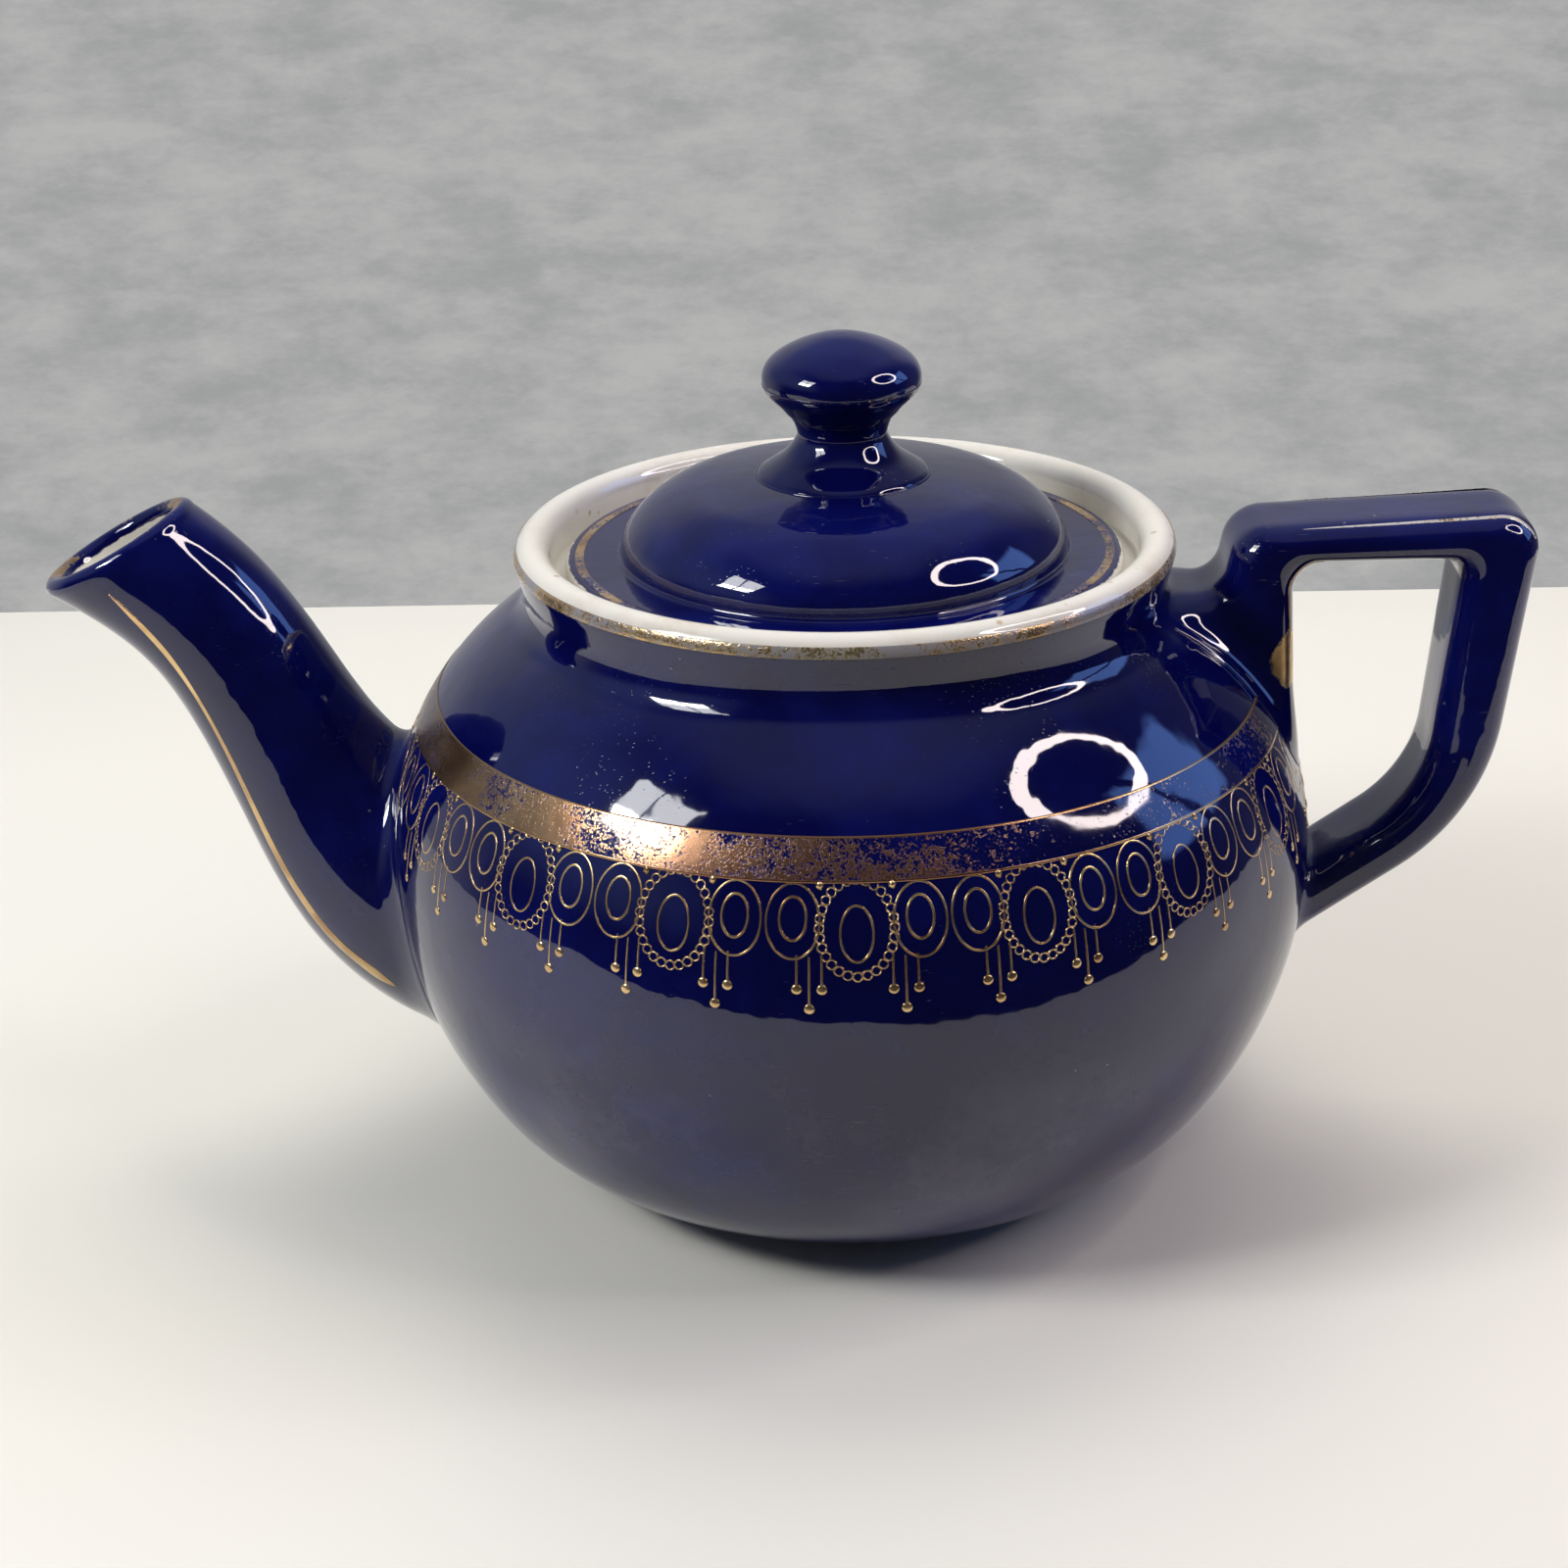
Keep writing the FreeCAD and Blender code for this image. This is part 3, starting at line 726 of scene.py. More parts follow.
class Bench:
    """A node tree being built: one method adds any node."""

    def __init__(self, tree):
        self.tree = tree

    def node(self, kind, traits=None, inputs=None, pick=None):
        """Add a node, set its traits, then its inputs. Gives the output asked for by name, a list
        for several names, or the first one in use."""
        made = self.tree.nodes.new(kind)
        for trait, value in (traits or {}).items():
            setattr(made, trait, value)
        for name, value in (inputs or {}).items():
            if isinstance(value, Wire):
                self.tree.links.new(value.socket, made.inputs[name])
            else:
                made.inputs[name].default_value = value
        if isinstance(pick, (tuple, list)):
            return [Wire(self, made.outputs[name]) for name in pick]
        if pick is not None:
            return Wire(self, made.outputs[pick])
        in_use = [socket for socket in made.outputs if socket.enabled]
        return Wire(self, in_use[0]) if in_use else None

    def mix(self, first, second, factor):
        """Blend two colours."""
        values = [value if isinstance(value, Wire) else (*value, 1.0) for value in (first, second)]
        return self.node(
            "ShaderNodeMix", {"data_type": "RGBA"}, {0: factor, 6: values[0], 7: values[1]}, 2)

    def blend(self, first, second, factor):
        """Blend two numbers."""
        return self.node(
            "ShaderNodeMix", {"data_type": "FLOAT"}, {0: factor, 2: first, 3: second}, 0)

    def noise(self, place, scale, detail=2.0, rough=0.5):
        """A cloudy value."""
        inputs = {"Vector": place, "Scale": scale, "Detail": detail, "Roughness": rough}
        return self.node("ShaderNodeTexNoise", {}, inputs, 0)

    def cells(self, place, scale):
        """A value that follows scattered cells."""
        inputs = {"Vector": place, "Scale": scale}
        return self.node("ShaderNodeTexVoronoi", {"feature": "F1"}, inputs, "Distance")

    def moved(self, place, offset=(0.0, 0.0, 0.0), scale=(1.0, 1.0, 1.0), twist=(0.0, 0.0, 0.0)):
        """A place moved, turned and scaled."""
        return self.node(
            "ShaderNodeMapping", {},
            {"Vector": place, "Location": offset, "Rotation": twist, "Scale": scale})

    def mark(self, name):
        """A value stored on the piece's vertices."""
        return self.node("ShaderNodeAttribute", {"attribute_name": name}, {}, "Fac")


def new_material(name):
    """An empty material and the bench to build it on."""
    material = bpy.data.materials.new(name)
    material.use_nodes = True
    material.node_tree.nodes.clear()
    return material, Bench(material.node_tree)


def put_out(bench, shader):
    """Join a shader to the material's output."""
    bench.node("ShaderNodeOutputMaterial", {}, {"Surface": shader})


def coat(bench, colour, rough, height, metal=0.0):
    """End a material as a bumped glossy surface."""
    bump = bench.node(
        "ShaderNodeBump", {}, {"Strength": 1.0, "Distance": BUMP_DEPTH, "Height": height})
    put_out(bench, bench.node("ShaderNodeBsdfPrincipled", {}, {
        "Base Color": colour,
        "Roughness": rough,
        "Metallic": metal,
        "IOR": GLAZE_IOR,
        "Normal": bump,
    }))


def along_axis(bench, axis):
    """The object coordinate along one axis."""
    spot = bench.node("ShaderNodeTexCoord", {}, {}, "Object")
    return bench.node("ShaderNodeSeparateXYZ", {}, {0: spot}, axis)


def object_place(bench, seed):
    """Object coordinates, moved by a seed so that pieces don't share a pattern."""
    place = bench.node("ShaderNodeTexCoord", {}, {}, "Object")
    return bench.moved(place, (0.37 * seed, 0.61 * seed, 0.23 * seed))


def glaze_parts(bench, seed):
    """What every glazed surface shares: its place, cobalt colour, specks, scratches and bumps."""
    finish = settings().finishes
    place = object_place(bench, seed)
    cloud = bench.noise(place, 34.0, 4.0, 0.6)
    pooled = bench.noise(place, 140.0, 3.0, 0.55)
    thin = (cloud * 0.75 + pooled * 0.25).span(0.38, 0.72)
    cobalt = bench.mix(finish.cobalt, finish.cobalt_thin, thin)
    grit = bench.cells(place, 290.0)
    chosen = bench.noise(place, 75.0, 2.0).span(0.56, 0.68)
    specks = grit.span(0.085, 0.035) * chosen
    hairs = []
    for twist, stretch in (((0.4, 0.3, 0.9), 90.0), ((1.3, 0.8, -0.5), 130.0)):
        lane = bench.moved(place, scale=(stretch, 2300.0, 2300.0), twist=twist)
        sparse = bench.noise(bench.moved(place, twist), 66.0, 2.0).span(0.55, 0.68)
        hairs.append(bench.cells(lane, 1.0).span(0.16, 0.05) * sparse)
    scratches = hairs[0].most(hairs[1])
    wave = bench.noise(place, 46.0, 1.0, 0.45)
    ripple = bench.noise(place, 130.0, 2.0, 0.5)
    return place, cobalt, specks, scratches, wave * 0.85 + ripple * 0.28


def glaze(name, seed):
    """Cobalt glaze outside, stained white glaze where the piece is marked white, bare clay where it
    is marked bare and rubbed gold where it is marked gilt."""
    finish = settings().finishes
    material, bench = new_material(name)
    place, cobalt, specks, scratches, relief = glaze_parts(bench, seed)
    drift = bench.noise(place, 420.0, 3.0, 0.6) - 0.5
    white = (bench.mark("white") + drift * 0.5).span(0.42, 0.58)
    bare = (bench.mark("bare") + drift * 0.3).span(0.42, 0.58)
    aged = bench.noise(place, 70.0, 5.0, 0.65).span(0.48, 0.78) * 0.40
    spotted = bench.noise(place, 36.0).span(0.45, 0.60)
    spots = bench.cells(place, 210.0).span(0.16, 0.07) * spotted * 0.8
    cream = bench.mix(finish.white, finish.stain, aged.most(spots))
    soiled = bench.noise(place, 900.0, 3.0).span(0.35, 0.75) * 0.6
    clay = bench.mix(finish.clay, finish.stain, soiled)
    colour = bench.mix(cobalt, cream, white)
    colour = bench.mix(colour, clay, bare)
    dust = (specks * 0.30 + scratches * 0.10) * (1 - white)
    colour = bench.mix(colour, DUST, dust)
    # A pale grey film over the glaze, coming in patches towards the bottom of the belly
    low = along_axis(bench, "Z").span(FILM_START, FILM_FULL)
    pale_low = bench.noise(place, 19.0, 6.0, 0.66).span(0.42, 0.68) * low * (1 - white)
    colour = bench.mix(colour, PALE_LOW_FILM, pale_low * 0.13)
    worn = bench.noise(place, 620.0, 3.0, 0.7) * 0.6 + bench.noise(place, 120.0, 2.0) * 0.4
    gilt = (bench.mark("gilt") * 1.05 - worn).span(-0.02, 0.10)
    sheen = bench.noise(place, 90.0, 3.0, 0.6).span(0.35, 0.7)
    gold = bench.mix(finish.dull_gold, finish.gold, sheen)
    colour = bench.mix(colour, gold, gilt)
    smudge = bench.noise(place, 22.0, 4.0, 0.6).span(0.45, 0.75)
    rough = 0.03 + smudge * 0.04 + scratches * 0.12 + specks * 0.15 + bare * 0.6
    height = relief + specks * 0.08 - scratches * 0.03 + gilt * 0.05
    coat(bench, colour, bench.blend(rough, 0.3, gilt), height, gilt)
    return material


def gilding(name, seed, cover, stipple, ground=0.0, lines=False, fade=0.0):
    """Rubbed gold over a glaze. Cover is how much gold is left, stipple how grainy it is, ground
    the share of white in the glaze below, lines whether the band's two edges stay clear and fade
    how much more gold is left towards the spout."""
    finish = settings().finishes
    material, bench = new_material(name)
    place, cobalt, specks, scratches, relief = glaze_parts(bench, seed)
    below = bench.mix(cobalt, finish.white, ground) if ground else cobalt
    patches = bench.noise(place, 52.0, 4.0, 0.62).span(0.30, 0.72)
    grain = bench.noise(place, 2600.0, 2.0, 0.6) * 0.6 + bench.noise(place, 900.0, 3.0, 0.6) * 0.4
    left = cover + (patches - 0.5) * 0.40
    if fade:
        towards = along_axis(bench, "X")
        left = left + towards.span(0.05, -0.07, -fade / 2, fade)
    gilt = (left - 0.5 + (grain - 0.5) * stipple * -1.0).span(-0.10, 0.10)
    if lines:
        edge = abs(bench.mark("across") - 0.5).span(0.44, 0.455)
        gilt = gilt.most(edge * bench.noise(place, 160.0, 3.0).span(0.22, 0.36))
    sheen = bench.noise(place, 80.0, 4.0, 0.6)
    gold = bench.mix(finish.dull_gold, finish.gold, sheen.span(0.30, 0.62))
    lustre = bench.noise(bench.moved(place, (3.0, 1.0, 2.0)), 26.0, 2.0)
    gold = bench.mix(gold, RED_LUSTRE, lustre.span(0.58, 0.75) * 0.5)
    gold = bench.mix(gold, GREEN_LUSTRE, lustre.span(0.42, 0.28) * 0.4)
    if fade:
        gold = bench.mix(gold, BAND_BROWN, 0.45)
        # Copper red in the band's middle, partly a painted dark reflection of the room in front
        gold = bench.mix(gold, BAND_RED_AND_PAINTED_DARK, abs(towards + 0.004).span(0.055, 0.02) * 0.7)
        # Painted dark reflection: the band darkens towards its spout end
        gold = bench.mix(gold, BAND_PAINTED_DARK_REFLECTION, towards.span(-0.042, -0.066) * 0.8)
    colour = bench.mix(below, gold, gilt)
    rough = bench.blend(0.06, 0.15 + grain * 0.18, gilt)
    height = relief + gilt * 0.05 + specks * 0.07 - scratches * 0.03
    coat(bench, colour, rough, height, gilt * 0.9)
    return material


def slip_glaze(name, seed):
    """Glaze over the thin bead of slip along a seam, darkened in patches by painted shade for its
    crease.
    """
    material, bench = new_material(name)
    place, cobalt, specks, scratches, relief = glaze_parts(bench, seed)
    # Painted shade: patches of the bead, which lies in the crease, are darkened towards a deeper
    # blue
    dark = bench.noise(place, 300.0, 3.0, 0.6).span(0.4, 0.7) * 0.5
    colour = bench.mix(cobalt, SEAM_PAINTED_SHADE, dark)
    coat(bench, colour, 0.06 + specks * 0.2 + scratches * 0.2, relief + specks * 0.1)
    return material


class ShapeBench(Bench):
    """A geometry tree being built."""

    def circle(self, count, radius):
        """A round curve."""
        inputs = {"Resolution": count, "Radius": radius}
        return self.node("GeometryNodeCurvePrimitiveCircle", {}, inputs)

    def tube(self, curve, width, sides=6):
        """A round tube along a curve."""
        inputs = {"Curve": curve, "Profile Curve": self.circle(sides, width / 2)}
        return self.node("GeometryNodeCurveToMesh", {}, inputs)

    def put(self, shape, place, scale=(1.0, 1.0, 1.0)):
        """A shape scaled and put in its place."""
        inputs = {"Geometry": shape, "Translation": place, "Scale": scale}
        return self.node("GeometryNodeTransform", {}, inputs)

    def oval(self, x, size, count=44):
        """An oval curve from its lower edge, upper edge and width in millimetres."""
        low, high, width = (edge * MM for edge in size)
        scale = (width / 2, (high - low) / 2, 1.0)
        return self.put(self.circle(count, 1.0), (x, (low + high) / 2, 0.0), scale)

    def ball(self, radius, rounds):
        """A ball; each round splits its faces once more."""
        inputs = {"Radius": radius, "Subdivisions": rounds}
        return self.node("GeometryNodeMeshIcoSphere", {}, inputs, "Mesh")

    def resampled(self, curve, count):
        """A curve with evenly spaced points."""
        inputs = {"Curve": curve, "Count": count}
        return self.node("GeometryNodeResampleCurve", {"mode": "COUNT"}, inputs)

    def copied(self, shape, places):
        """Copies of a shape, one at each point."""
        inputs = {"Points": places, "Instance": shape}
        return self.node("GeometryNodeInstanceOnPoints", {}, inputs)

    def made_real(self, shape):
        """A shape whose copies are real meshes."""
        return self.node("GeometryNodeRealizeInstances", {}, {"Geometry": shape})

    def joined(self, shapes):
        """Several shapes as one."""
        whole = self.node("GeometryNodeJoinGeometry")
        for shape in shapes:
            self.tree.links.new(shape.socket, whole.socket.node.inputs[0])
        return whole

    def position(self):
        """Where each point lies, along the three axes."""
        spot = self.node("GeometryNodeInputPosition")
        return self.node("ShaderNodeSeparateXYZ", {}, {0: spot}, ("X", "Y", "Z"))

    def give_out(self, shape, material):
        """End the tree: the shape is shaded smooth, made real and given its material."""
        smooth = {"Geometry": shape, "Shade Smooth": True}
        whole = self.made_real(self.node("GeometryNodeSetShadeSmooth", {}, smooth))
        painted = {"Geometry": whole, "Material": material}
        self.node(
            "NodeGroupOutput", {}, {"Geometry": self.node("GeometryNodeSetMaterial", {}, painted)})


def geometry_tree(name, sizes):
    """A geometry node tree with named inputs. Gives the tree, its bench, its inputs by name and the
    identifier of each."""
    tree = bpy.data.node_groups.new(name, "GeometryNodeTree")
    tree.interface.new_socket("Geometry", in_out="INPUT", socket_type="NodeSocketGeometry")
    keys = {}
    for label, value in sizes.items():
        kind = "NodeSocketInt" if isinstance(value, int) else "NodeSocketFloat"
        keys[label] = tree.interface.new_socket(label, in_out="INPUT", socket_type=kind).identifier
    tree.interface.new_socket("Geometry", in_out="OUTPUT", socket_type="NodeSocketGeometry")
    bench = ShapeBench(tree)
    names = ["Geometry", *sizes]
    given = dict(zip(names, bench.node("NodeGroupInput", {}, {}, names)))
    return tree, bench, given, keys


def grown(name, tree, keys, sizes, points=(), edges=()):
    """A piece that a geometry tree makes, settled into a plain mesh."""
    mesh = bpy.data.meshes.new(name)
    mesh.from_pydata([tuple(point) for point in points], edges, [])
    piece = bpy.data.objects.new(name, mesh)
    bpy.context.scene.collection.objects.link(piece)
    grow = piece.modifiers.new(name, "NODES")
    grow.node_group = tree
    for label, value in sizes.items():
        grow[keys[label]] = value
    settle(piece)
    if not piece.data.polygons:
        raise RuntimeError(f"{name} came out empty")
    return piece


def seam_bead(name, loop, width, material):
    """A thin bead of glaze along a closed seam."""
    sizes = {"Width": width}
    tree, bench, given, keys = geometry_tree(name, sizes)
    curve = bench.node("GeometryNodeMeshToCurve", {}, {"Mesh": given["Geometry"]})
    bench.give_out(bench.tube(curve, given["Width"], 10), material)
    count = len(loop)
    edges = [(index, (index + 1) % count) for index in range(count)]
    return grown(name, tree, keys, sizes, loop, edges)


class TEAPOT_OT_pot(bpy.types.Operator):
    """Make the thrown pot: foot ring, belly, collar, lip and the ledge for the lid"""
    bl_idname = "teapot.pot"
    bl_label = "Pot"

    def execute(self, context):
        form = PotForm()
        pot = form.pot
        piece = turned("pot_glazed", *self.outline(form), steps=256)
        middle = pot.belly_height - pot.strainer_drop
        places = [(0.0, middle)]
        for index in range(pot.strainer_count):
            angle = 2 * math.pi * index / pot.strainer_count
            side = pot.strainer_pitch * math.cos(angle)
            places.append((side, middle + pot.strainer_pitch * math.sin(angle)))
        depth = 16 * MM
        start = pot.belly_radius + 2 * MM - depth / 2
        drilled(piece, [((-start, y, z), (1, 0, 0), pot.strainer_hole, depth) for y, z in places])
        finished(piece, "pot", glaze("cobalt_glaze_pot", 1), ("pot_body",))
        return {"FINISHED"}

    def outline(self, form):
        """The pot's outline from the middle of its underside, over the lip, to the middle of its
        floor, and the parts of it that are white or bare."""
        pot = form.pot
        foot_in = pot.foot_radius - pot.foot_width
        floor = pot.foot_recess + pot.wall
        low = -math.acos((pot.foot_radius - form.heel[0]) / pot.heel_arc)
        inner_heel = pot.heel_arc - pot.wall
        low_in = -math.asin((form.heel[1] - floor) / inner_heel)
        high = math.acos((pot.collar_radius - form.shoulder[0]) / pot.shoulder_arc)
        high_in = math.acos((form.mouth - form.shoulder[0]) / (pot.shoulder_arc - pot.wall))
        outside = form.belly(low, high, 0.0)
        inside = form.belly(low_in, high_in, -pot.wall)
        inside = [run[::-1] for run in inside[::-1]]
        roll = pot.lip / 2
        blue_end = math.radians(24)
        lip_out = bow(form.lip_middle, roll, 0.0, blue_end, 0.2 * MM)
        lip_over = bow(form.lip_middle, roll, blue_end, math.pi, 0.3 * MM)
        inner_lip = (form.lip_inner, form.lip_middle[1])
        runs = [
            straight((0.0, pot.foot_recess), (foot_in, pot.foot_recess)),
            straight((foot_in, pot.foot_recess), (foot_in, 0.0)),
            straight((foot_in, 0.0), (pot.foot_radius, 0.0)),
            straight((pot.foot_radius, 0.0), outside[0][0]),
            *outside,
            straight(outside[-1][-1], (form.lip_radius, form.lip_middle[1])),
            lip_out,
            lip_over,
            straight(inner_lip, (form.lip_inner, form.ledge)),
            straight((form.lip_inner, form.ledge), (form.mouth, form.ledge)),
            straight((form.mouth, form.ledge), inside[0][0]),
            *inside,
            straight(inside[-1][-1], (0.0, floor)),
        ]
        eases = np.array((0.8, 0.8, 0.8, 0.7, 0, 0, 4.2, 0, 0, 0, 1.0, 1.2, 1.2, 0, 0, 3)) * MM
        outline, owner = joined(runs, eases)
        recess_run, foot_run, white_lip_run = 0, 2, 9
        white = ((owner >= white_lip_run) | (owner == recess_run)).astype(float)
        bare = ((owner == foot_run) & (outline[:, 1] < 0.25 * MM)).astype(float)
        return outline, {"white": white, "bare": bare}


class TEAPOT_OT_spout(bpy.types.Operator):
    """Make the hollow spout, its seam and the gold strokes along its sides"""
    bl_idname = "teapot.spout"
    bl_label = "Spout"

    def execute(self, context):
        form = PotForm()
        shape = SpoutForm()
        self.body(form, shape)
        self.seam(form, shape)
        self.strokes(shape)
        return {"FINISHED"}

    def body(self, form, shape):
        """The hollow spout: its outside, its rounded lip and its inside, marked white and gilt."""
        sizes = settings().spout
        outer, outward = shape.trimmed(form, 0.0, 100)
        outer = form.filleted(outer, outward, sizes.fillet)
        inner, _ = shape.trimmed(form, sizes.wall, 70)
        middle = (outer[-1] + inner[-1]) / 2
        half = (outer[-1] - inner[-1]) / 2
        rise = shape.plane * sizes.lip
        bends = np.linspace(0, math.pi, 11)[1:-1]
        lip = [middle + half * math.cos(bend) + rise * math.sin(bend) for bend in bends]
        grid = np.concatenate([outer, lip, inner[::-1]])
        rows, columns = grid.shape[:2]
        lip_row = len(outer)
        inner_row = lip_row + len(lip)
        white = np.zeros((rows, columns))
        white[inner_row] = 0.45
        white[inner_row + 1:] = 1.0
        gilt = np.zeros((rows, columns))
        aside = np.abs(grid[lip_row + 4, :, 1])
        gilt[lip_row + 3:lip_row + 8] = 0.36 + 0.24 * (1 - aside / aside.max())
        faces = net(rows, columns, wrap_rows=True)
        marks = {"white": white.ravel(), "gilt": gilt.ravel()}
        piece = new_piece("spout_glazed", grid.reshape(-1, 3), faces, marks)
        finished(piece, "pot", glaze("cobalt_glaze_spout", 2), ("spout",))

    def seam(self, form, shape):
        """The bead of glazed slip round the spout's root."""
        grid, outward, gaps = shape.whole(form, 0.0)
        loop = form.seam(grid, outward, crossing(gaps, False), settings().spout.fillet)
        seam = seam_bead("spout_seam", loop, 0.5 * MM, slip_glaze("seam_glaze_spout", 3))
        finished(seam, "pot", seam.data.materials[0], ("spout_slip",))

    def strokes(self, shape):
        """The painted stroke along each side."""
        gold = gilding("stroke_gold", 4, cover=1.05, stipple=0.3)
        table = np.array(SPOUT_STROKE)
        knots = table[:, 0] * MM
        steps = np.linspace(knots[0], knots[-1], 120)
        below, half_width = smooth_through(knots, table[:, 1:], steps).T
        for side, name in ((-1, "stroke_near"), (1, "stroke_far")):
            angle = -np.radians(below) if side > 0 else np.radians(below) + math.pi
            path, out = shape.skin(steps, angle[:, None], 0.0)
            stroke = ribbon(
                name, path[:, 0], out[:, 0], half_width * MM, settings().gilding.film,
                surface_radius=14 * MM)
            finished(stroke, "pot", gold)


def bar_columns(long_count=15, short_count=7, corner_count=6):
    """The columns round a square bar with rounded edges: for each, its share of the depth, its step
    out of that, its share of the half width and its step out of that."""
    bend = np.linspace(0, math.pi / 2, corner_count + 1)[1:-1]
    flat = np.linspace(-1, 1, short_count)
    deep = np.linspace(0, 1, long_count)
    columns = [(0, -1, v, 0) for v in flat]
    columns += [(0, -math.cos(b), 1, math.sin(b)) for b in bend]
    columns += [(u, 0, 1, 1) for u in deep]
    columns += [(1, math.sin(b), 1, math.cos(b)) for b in bend]
    columns += [(1, 1, v, 0) for v in flat[::-1]]
    columns += [(1, math.cos(b), -1, -math.sin(b)) for b in bend]
    columns += [(u, 0, -1, -1) for u in deep[::-1]]
    columns += [(0, -math.sin(b), -1, -math.cos(b)) for b in bend]
    return np.array(columns, float)


def bend_path(corners, parts):
    """Points through corners in the XZ plane, each corner rounded to its own radius. Parts gives
    how many points each run and each rounding gets, in order."""
    points = np.array([corner[:2] for corner in corners])
    reaches = []
    for index in range(1, len(corners) - 1):
        back = points[index - 1] - points[index]
        ahead = points[index + 1] - points[index]
        cosine = back @ ahead / (np.linalg.norm(back) * np.linalg.norm(ahead))
        reaches.append(corners[index][2] / math.tan(math.acos(cosine) / 2))
    reaches = [0.0, *reaches, 0.0]
    path = []
    for index in range(len(points) - 1):
        way = points[index + 1] - points[index]
        way /= np.linalg.norm(way)
        start = points[index] + way * reaches[index]
        end = points[index + 1] - way * reaches[index + 1]
        path.append(np.linspace(start, end, parts[2 * index]))
        if index + 2 < len(points):
            ahead = points[index + 2] - points[index + 1]
            ahead /= np.linalg.norm(ahead)
            after = points[index + 1] + ahead * reaches[index + 1]
            bend = rounding(end, points[index + 1], after, parts[2 * index + 1] + 2)
            path.append(bend)
    return path


class HandleForm:
    """The handle's bar before it is trimmed to the pot: rows along it and columns round it."""

    def __init__(self, form):
        bar = settings().handle
        outer, inner = self.contours(form)
        across = inner - outer
        depth = np.linalg.norm(across, axis=1)[:, None]
        way = across / depth
        edge = bar.edge
        deep = np.minimum(0.42 * depth, 0.85 * edge)
        self.table = bar_columns()
        deep_share, deep_step, side_share, side_step = self.table.T
        far = deep + deep_share * (depth - 2 * deep) + deep_step * deep
        self.grid = np.empty((*far.shape, 3))
        self.grid[..., 0] = outer[:, :1] + way[:, :1] * far
        self.grid[..., 1] = side_share * (bar.width / 2 - edge) + side_step * edge
        self.grid[..., 2] = outer[:, 1:] + way[:, 1:] * far
        self.outward = np.empty_like(self.grid)
        self.outward[..., 0] = way[:, :1] * deep_step
        self.outward[..., 1] = side_step
        self.outward[..., 2] = way[:, 1:] * deep_step
        self.outward /= np.hypot(deep_step, side_step)[None, :, None]
        self.count = len(outer)
        self.half = self.count // 2
        gaps = form.gap(self.grid)
        self.front = gaps.copy()
        self.front[self.half:] = 1.0
        self.back = gaps.copy()
        self.back[:self.half] = 1.0

    def contours(self, form):
        """The bar's outer and inner contour, point for point."""
        bar = settings().handle
        pot = form.pot
        reach = pot.belly_radius + bar.reach
        top = form.lip_top + bar.top
        under = top - bar.top_depth
        limb = form.lip_radius + bar.limb_gap
        limb_in = limb + bar.limb_depth
        limb_foot = pot.belly_height + 12.6 * MM
        web = form.lip_top - bar.web_drop
        tail_end = pot.belly_radius - 10.6 * MM
        bend_height = pot.belly_height + 3.4 * MM
        bend_out = reach - bar.grip_lean
        bend_in = bend_out - 10.2 * MM
        fall = math.tan(bar.tail_slope)
        tail_low = bend_height - (bend_out - tail_end) * fall
        tail_high = tail_low + bar.tail_depth / math.cos(bar.tail_slope)
        outer = bend_path((
            (form.mouth, web, 0),
            (limb, web, 5 * MM),
            (limb + bar.limb_lean, top - bar.top_fall, 6 * MM),
            (reach, top, 6 * MM),
            (bend_out, bend_height, 36 * MM),
            (tail_end, tail_low, 0),
        ), (40, 20, 12, 24, 40, 24, 40, 60, 50))
        inner = bend_path((
            (limb_in + 1.6 * MM, limb_foot, 0),
            (limb_in, under, 5 * MM),
            (reach - bar.grip_depth, under, 3 * MM),
            (bend_in, tail_high + (bend_in - tail_end) * fall, 22 * MM),
            (tail_end, tail_high, 0),
        ), (72, 24, 40, 24, 40, 60, 50))
        return np.vstack(outer), np.vstack(inner)

    def trimmed(self, form, rows, drawn_up=84.0):
        """The bar between its two roots and its outward directions. Its first and last rows, as
        many as are drawn up, are spread anew from the pot."""
        bar = settings().handle
        starts = crossing(self.front + SUNK * MM, False)
        ends = crossing(self.back + SUNK * MM, True)
        spread = np.linspace(0, self.count - 1, rows)[:, None]
        tail = self.count - drawn_up
        near = starts + (drawn_up - starts) * spread / drawn_up
        wanted = np.where(spread < drawn_up, near, spread)
        share = (spread - tail) / (self.count - 1 - tail)
        wanted = np.where(spread > tail, tail + (ends - tail) * share, wanted)
        outward = read_rows(self.outward, wanted)
        fillet = np.where(spread > self.half, bar.tail_fillet, bar.root_fillet)
        return form.filleted(read_rows(self.grid, wanted), outward, fillet), outward

    def nearest(self, column):
        """The number of the column that is nearest to a wanted one."""
        return np.argmin(np.abs(self.table - np.array(column)).sum(1))


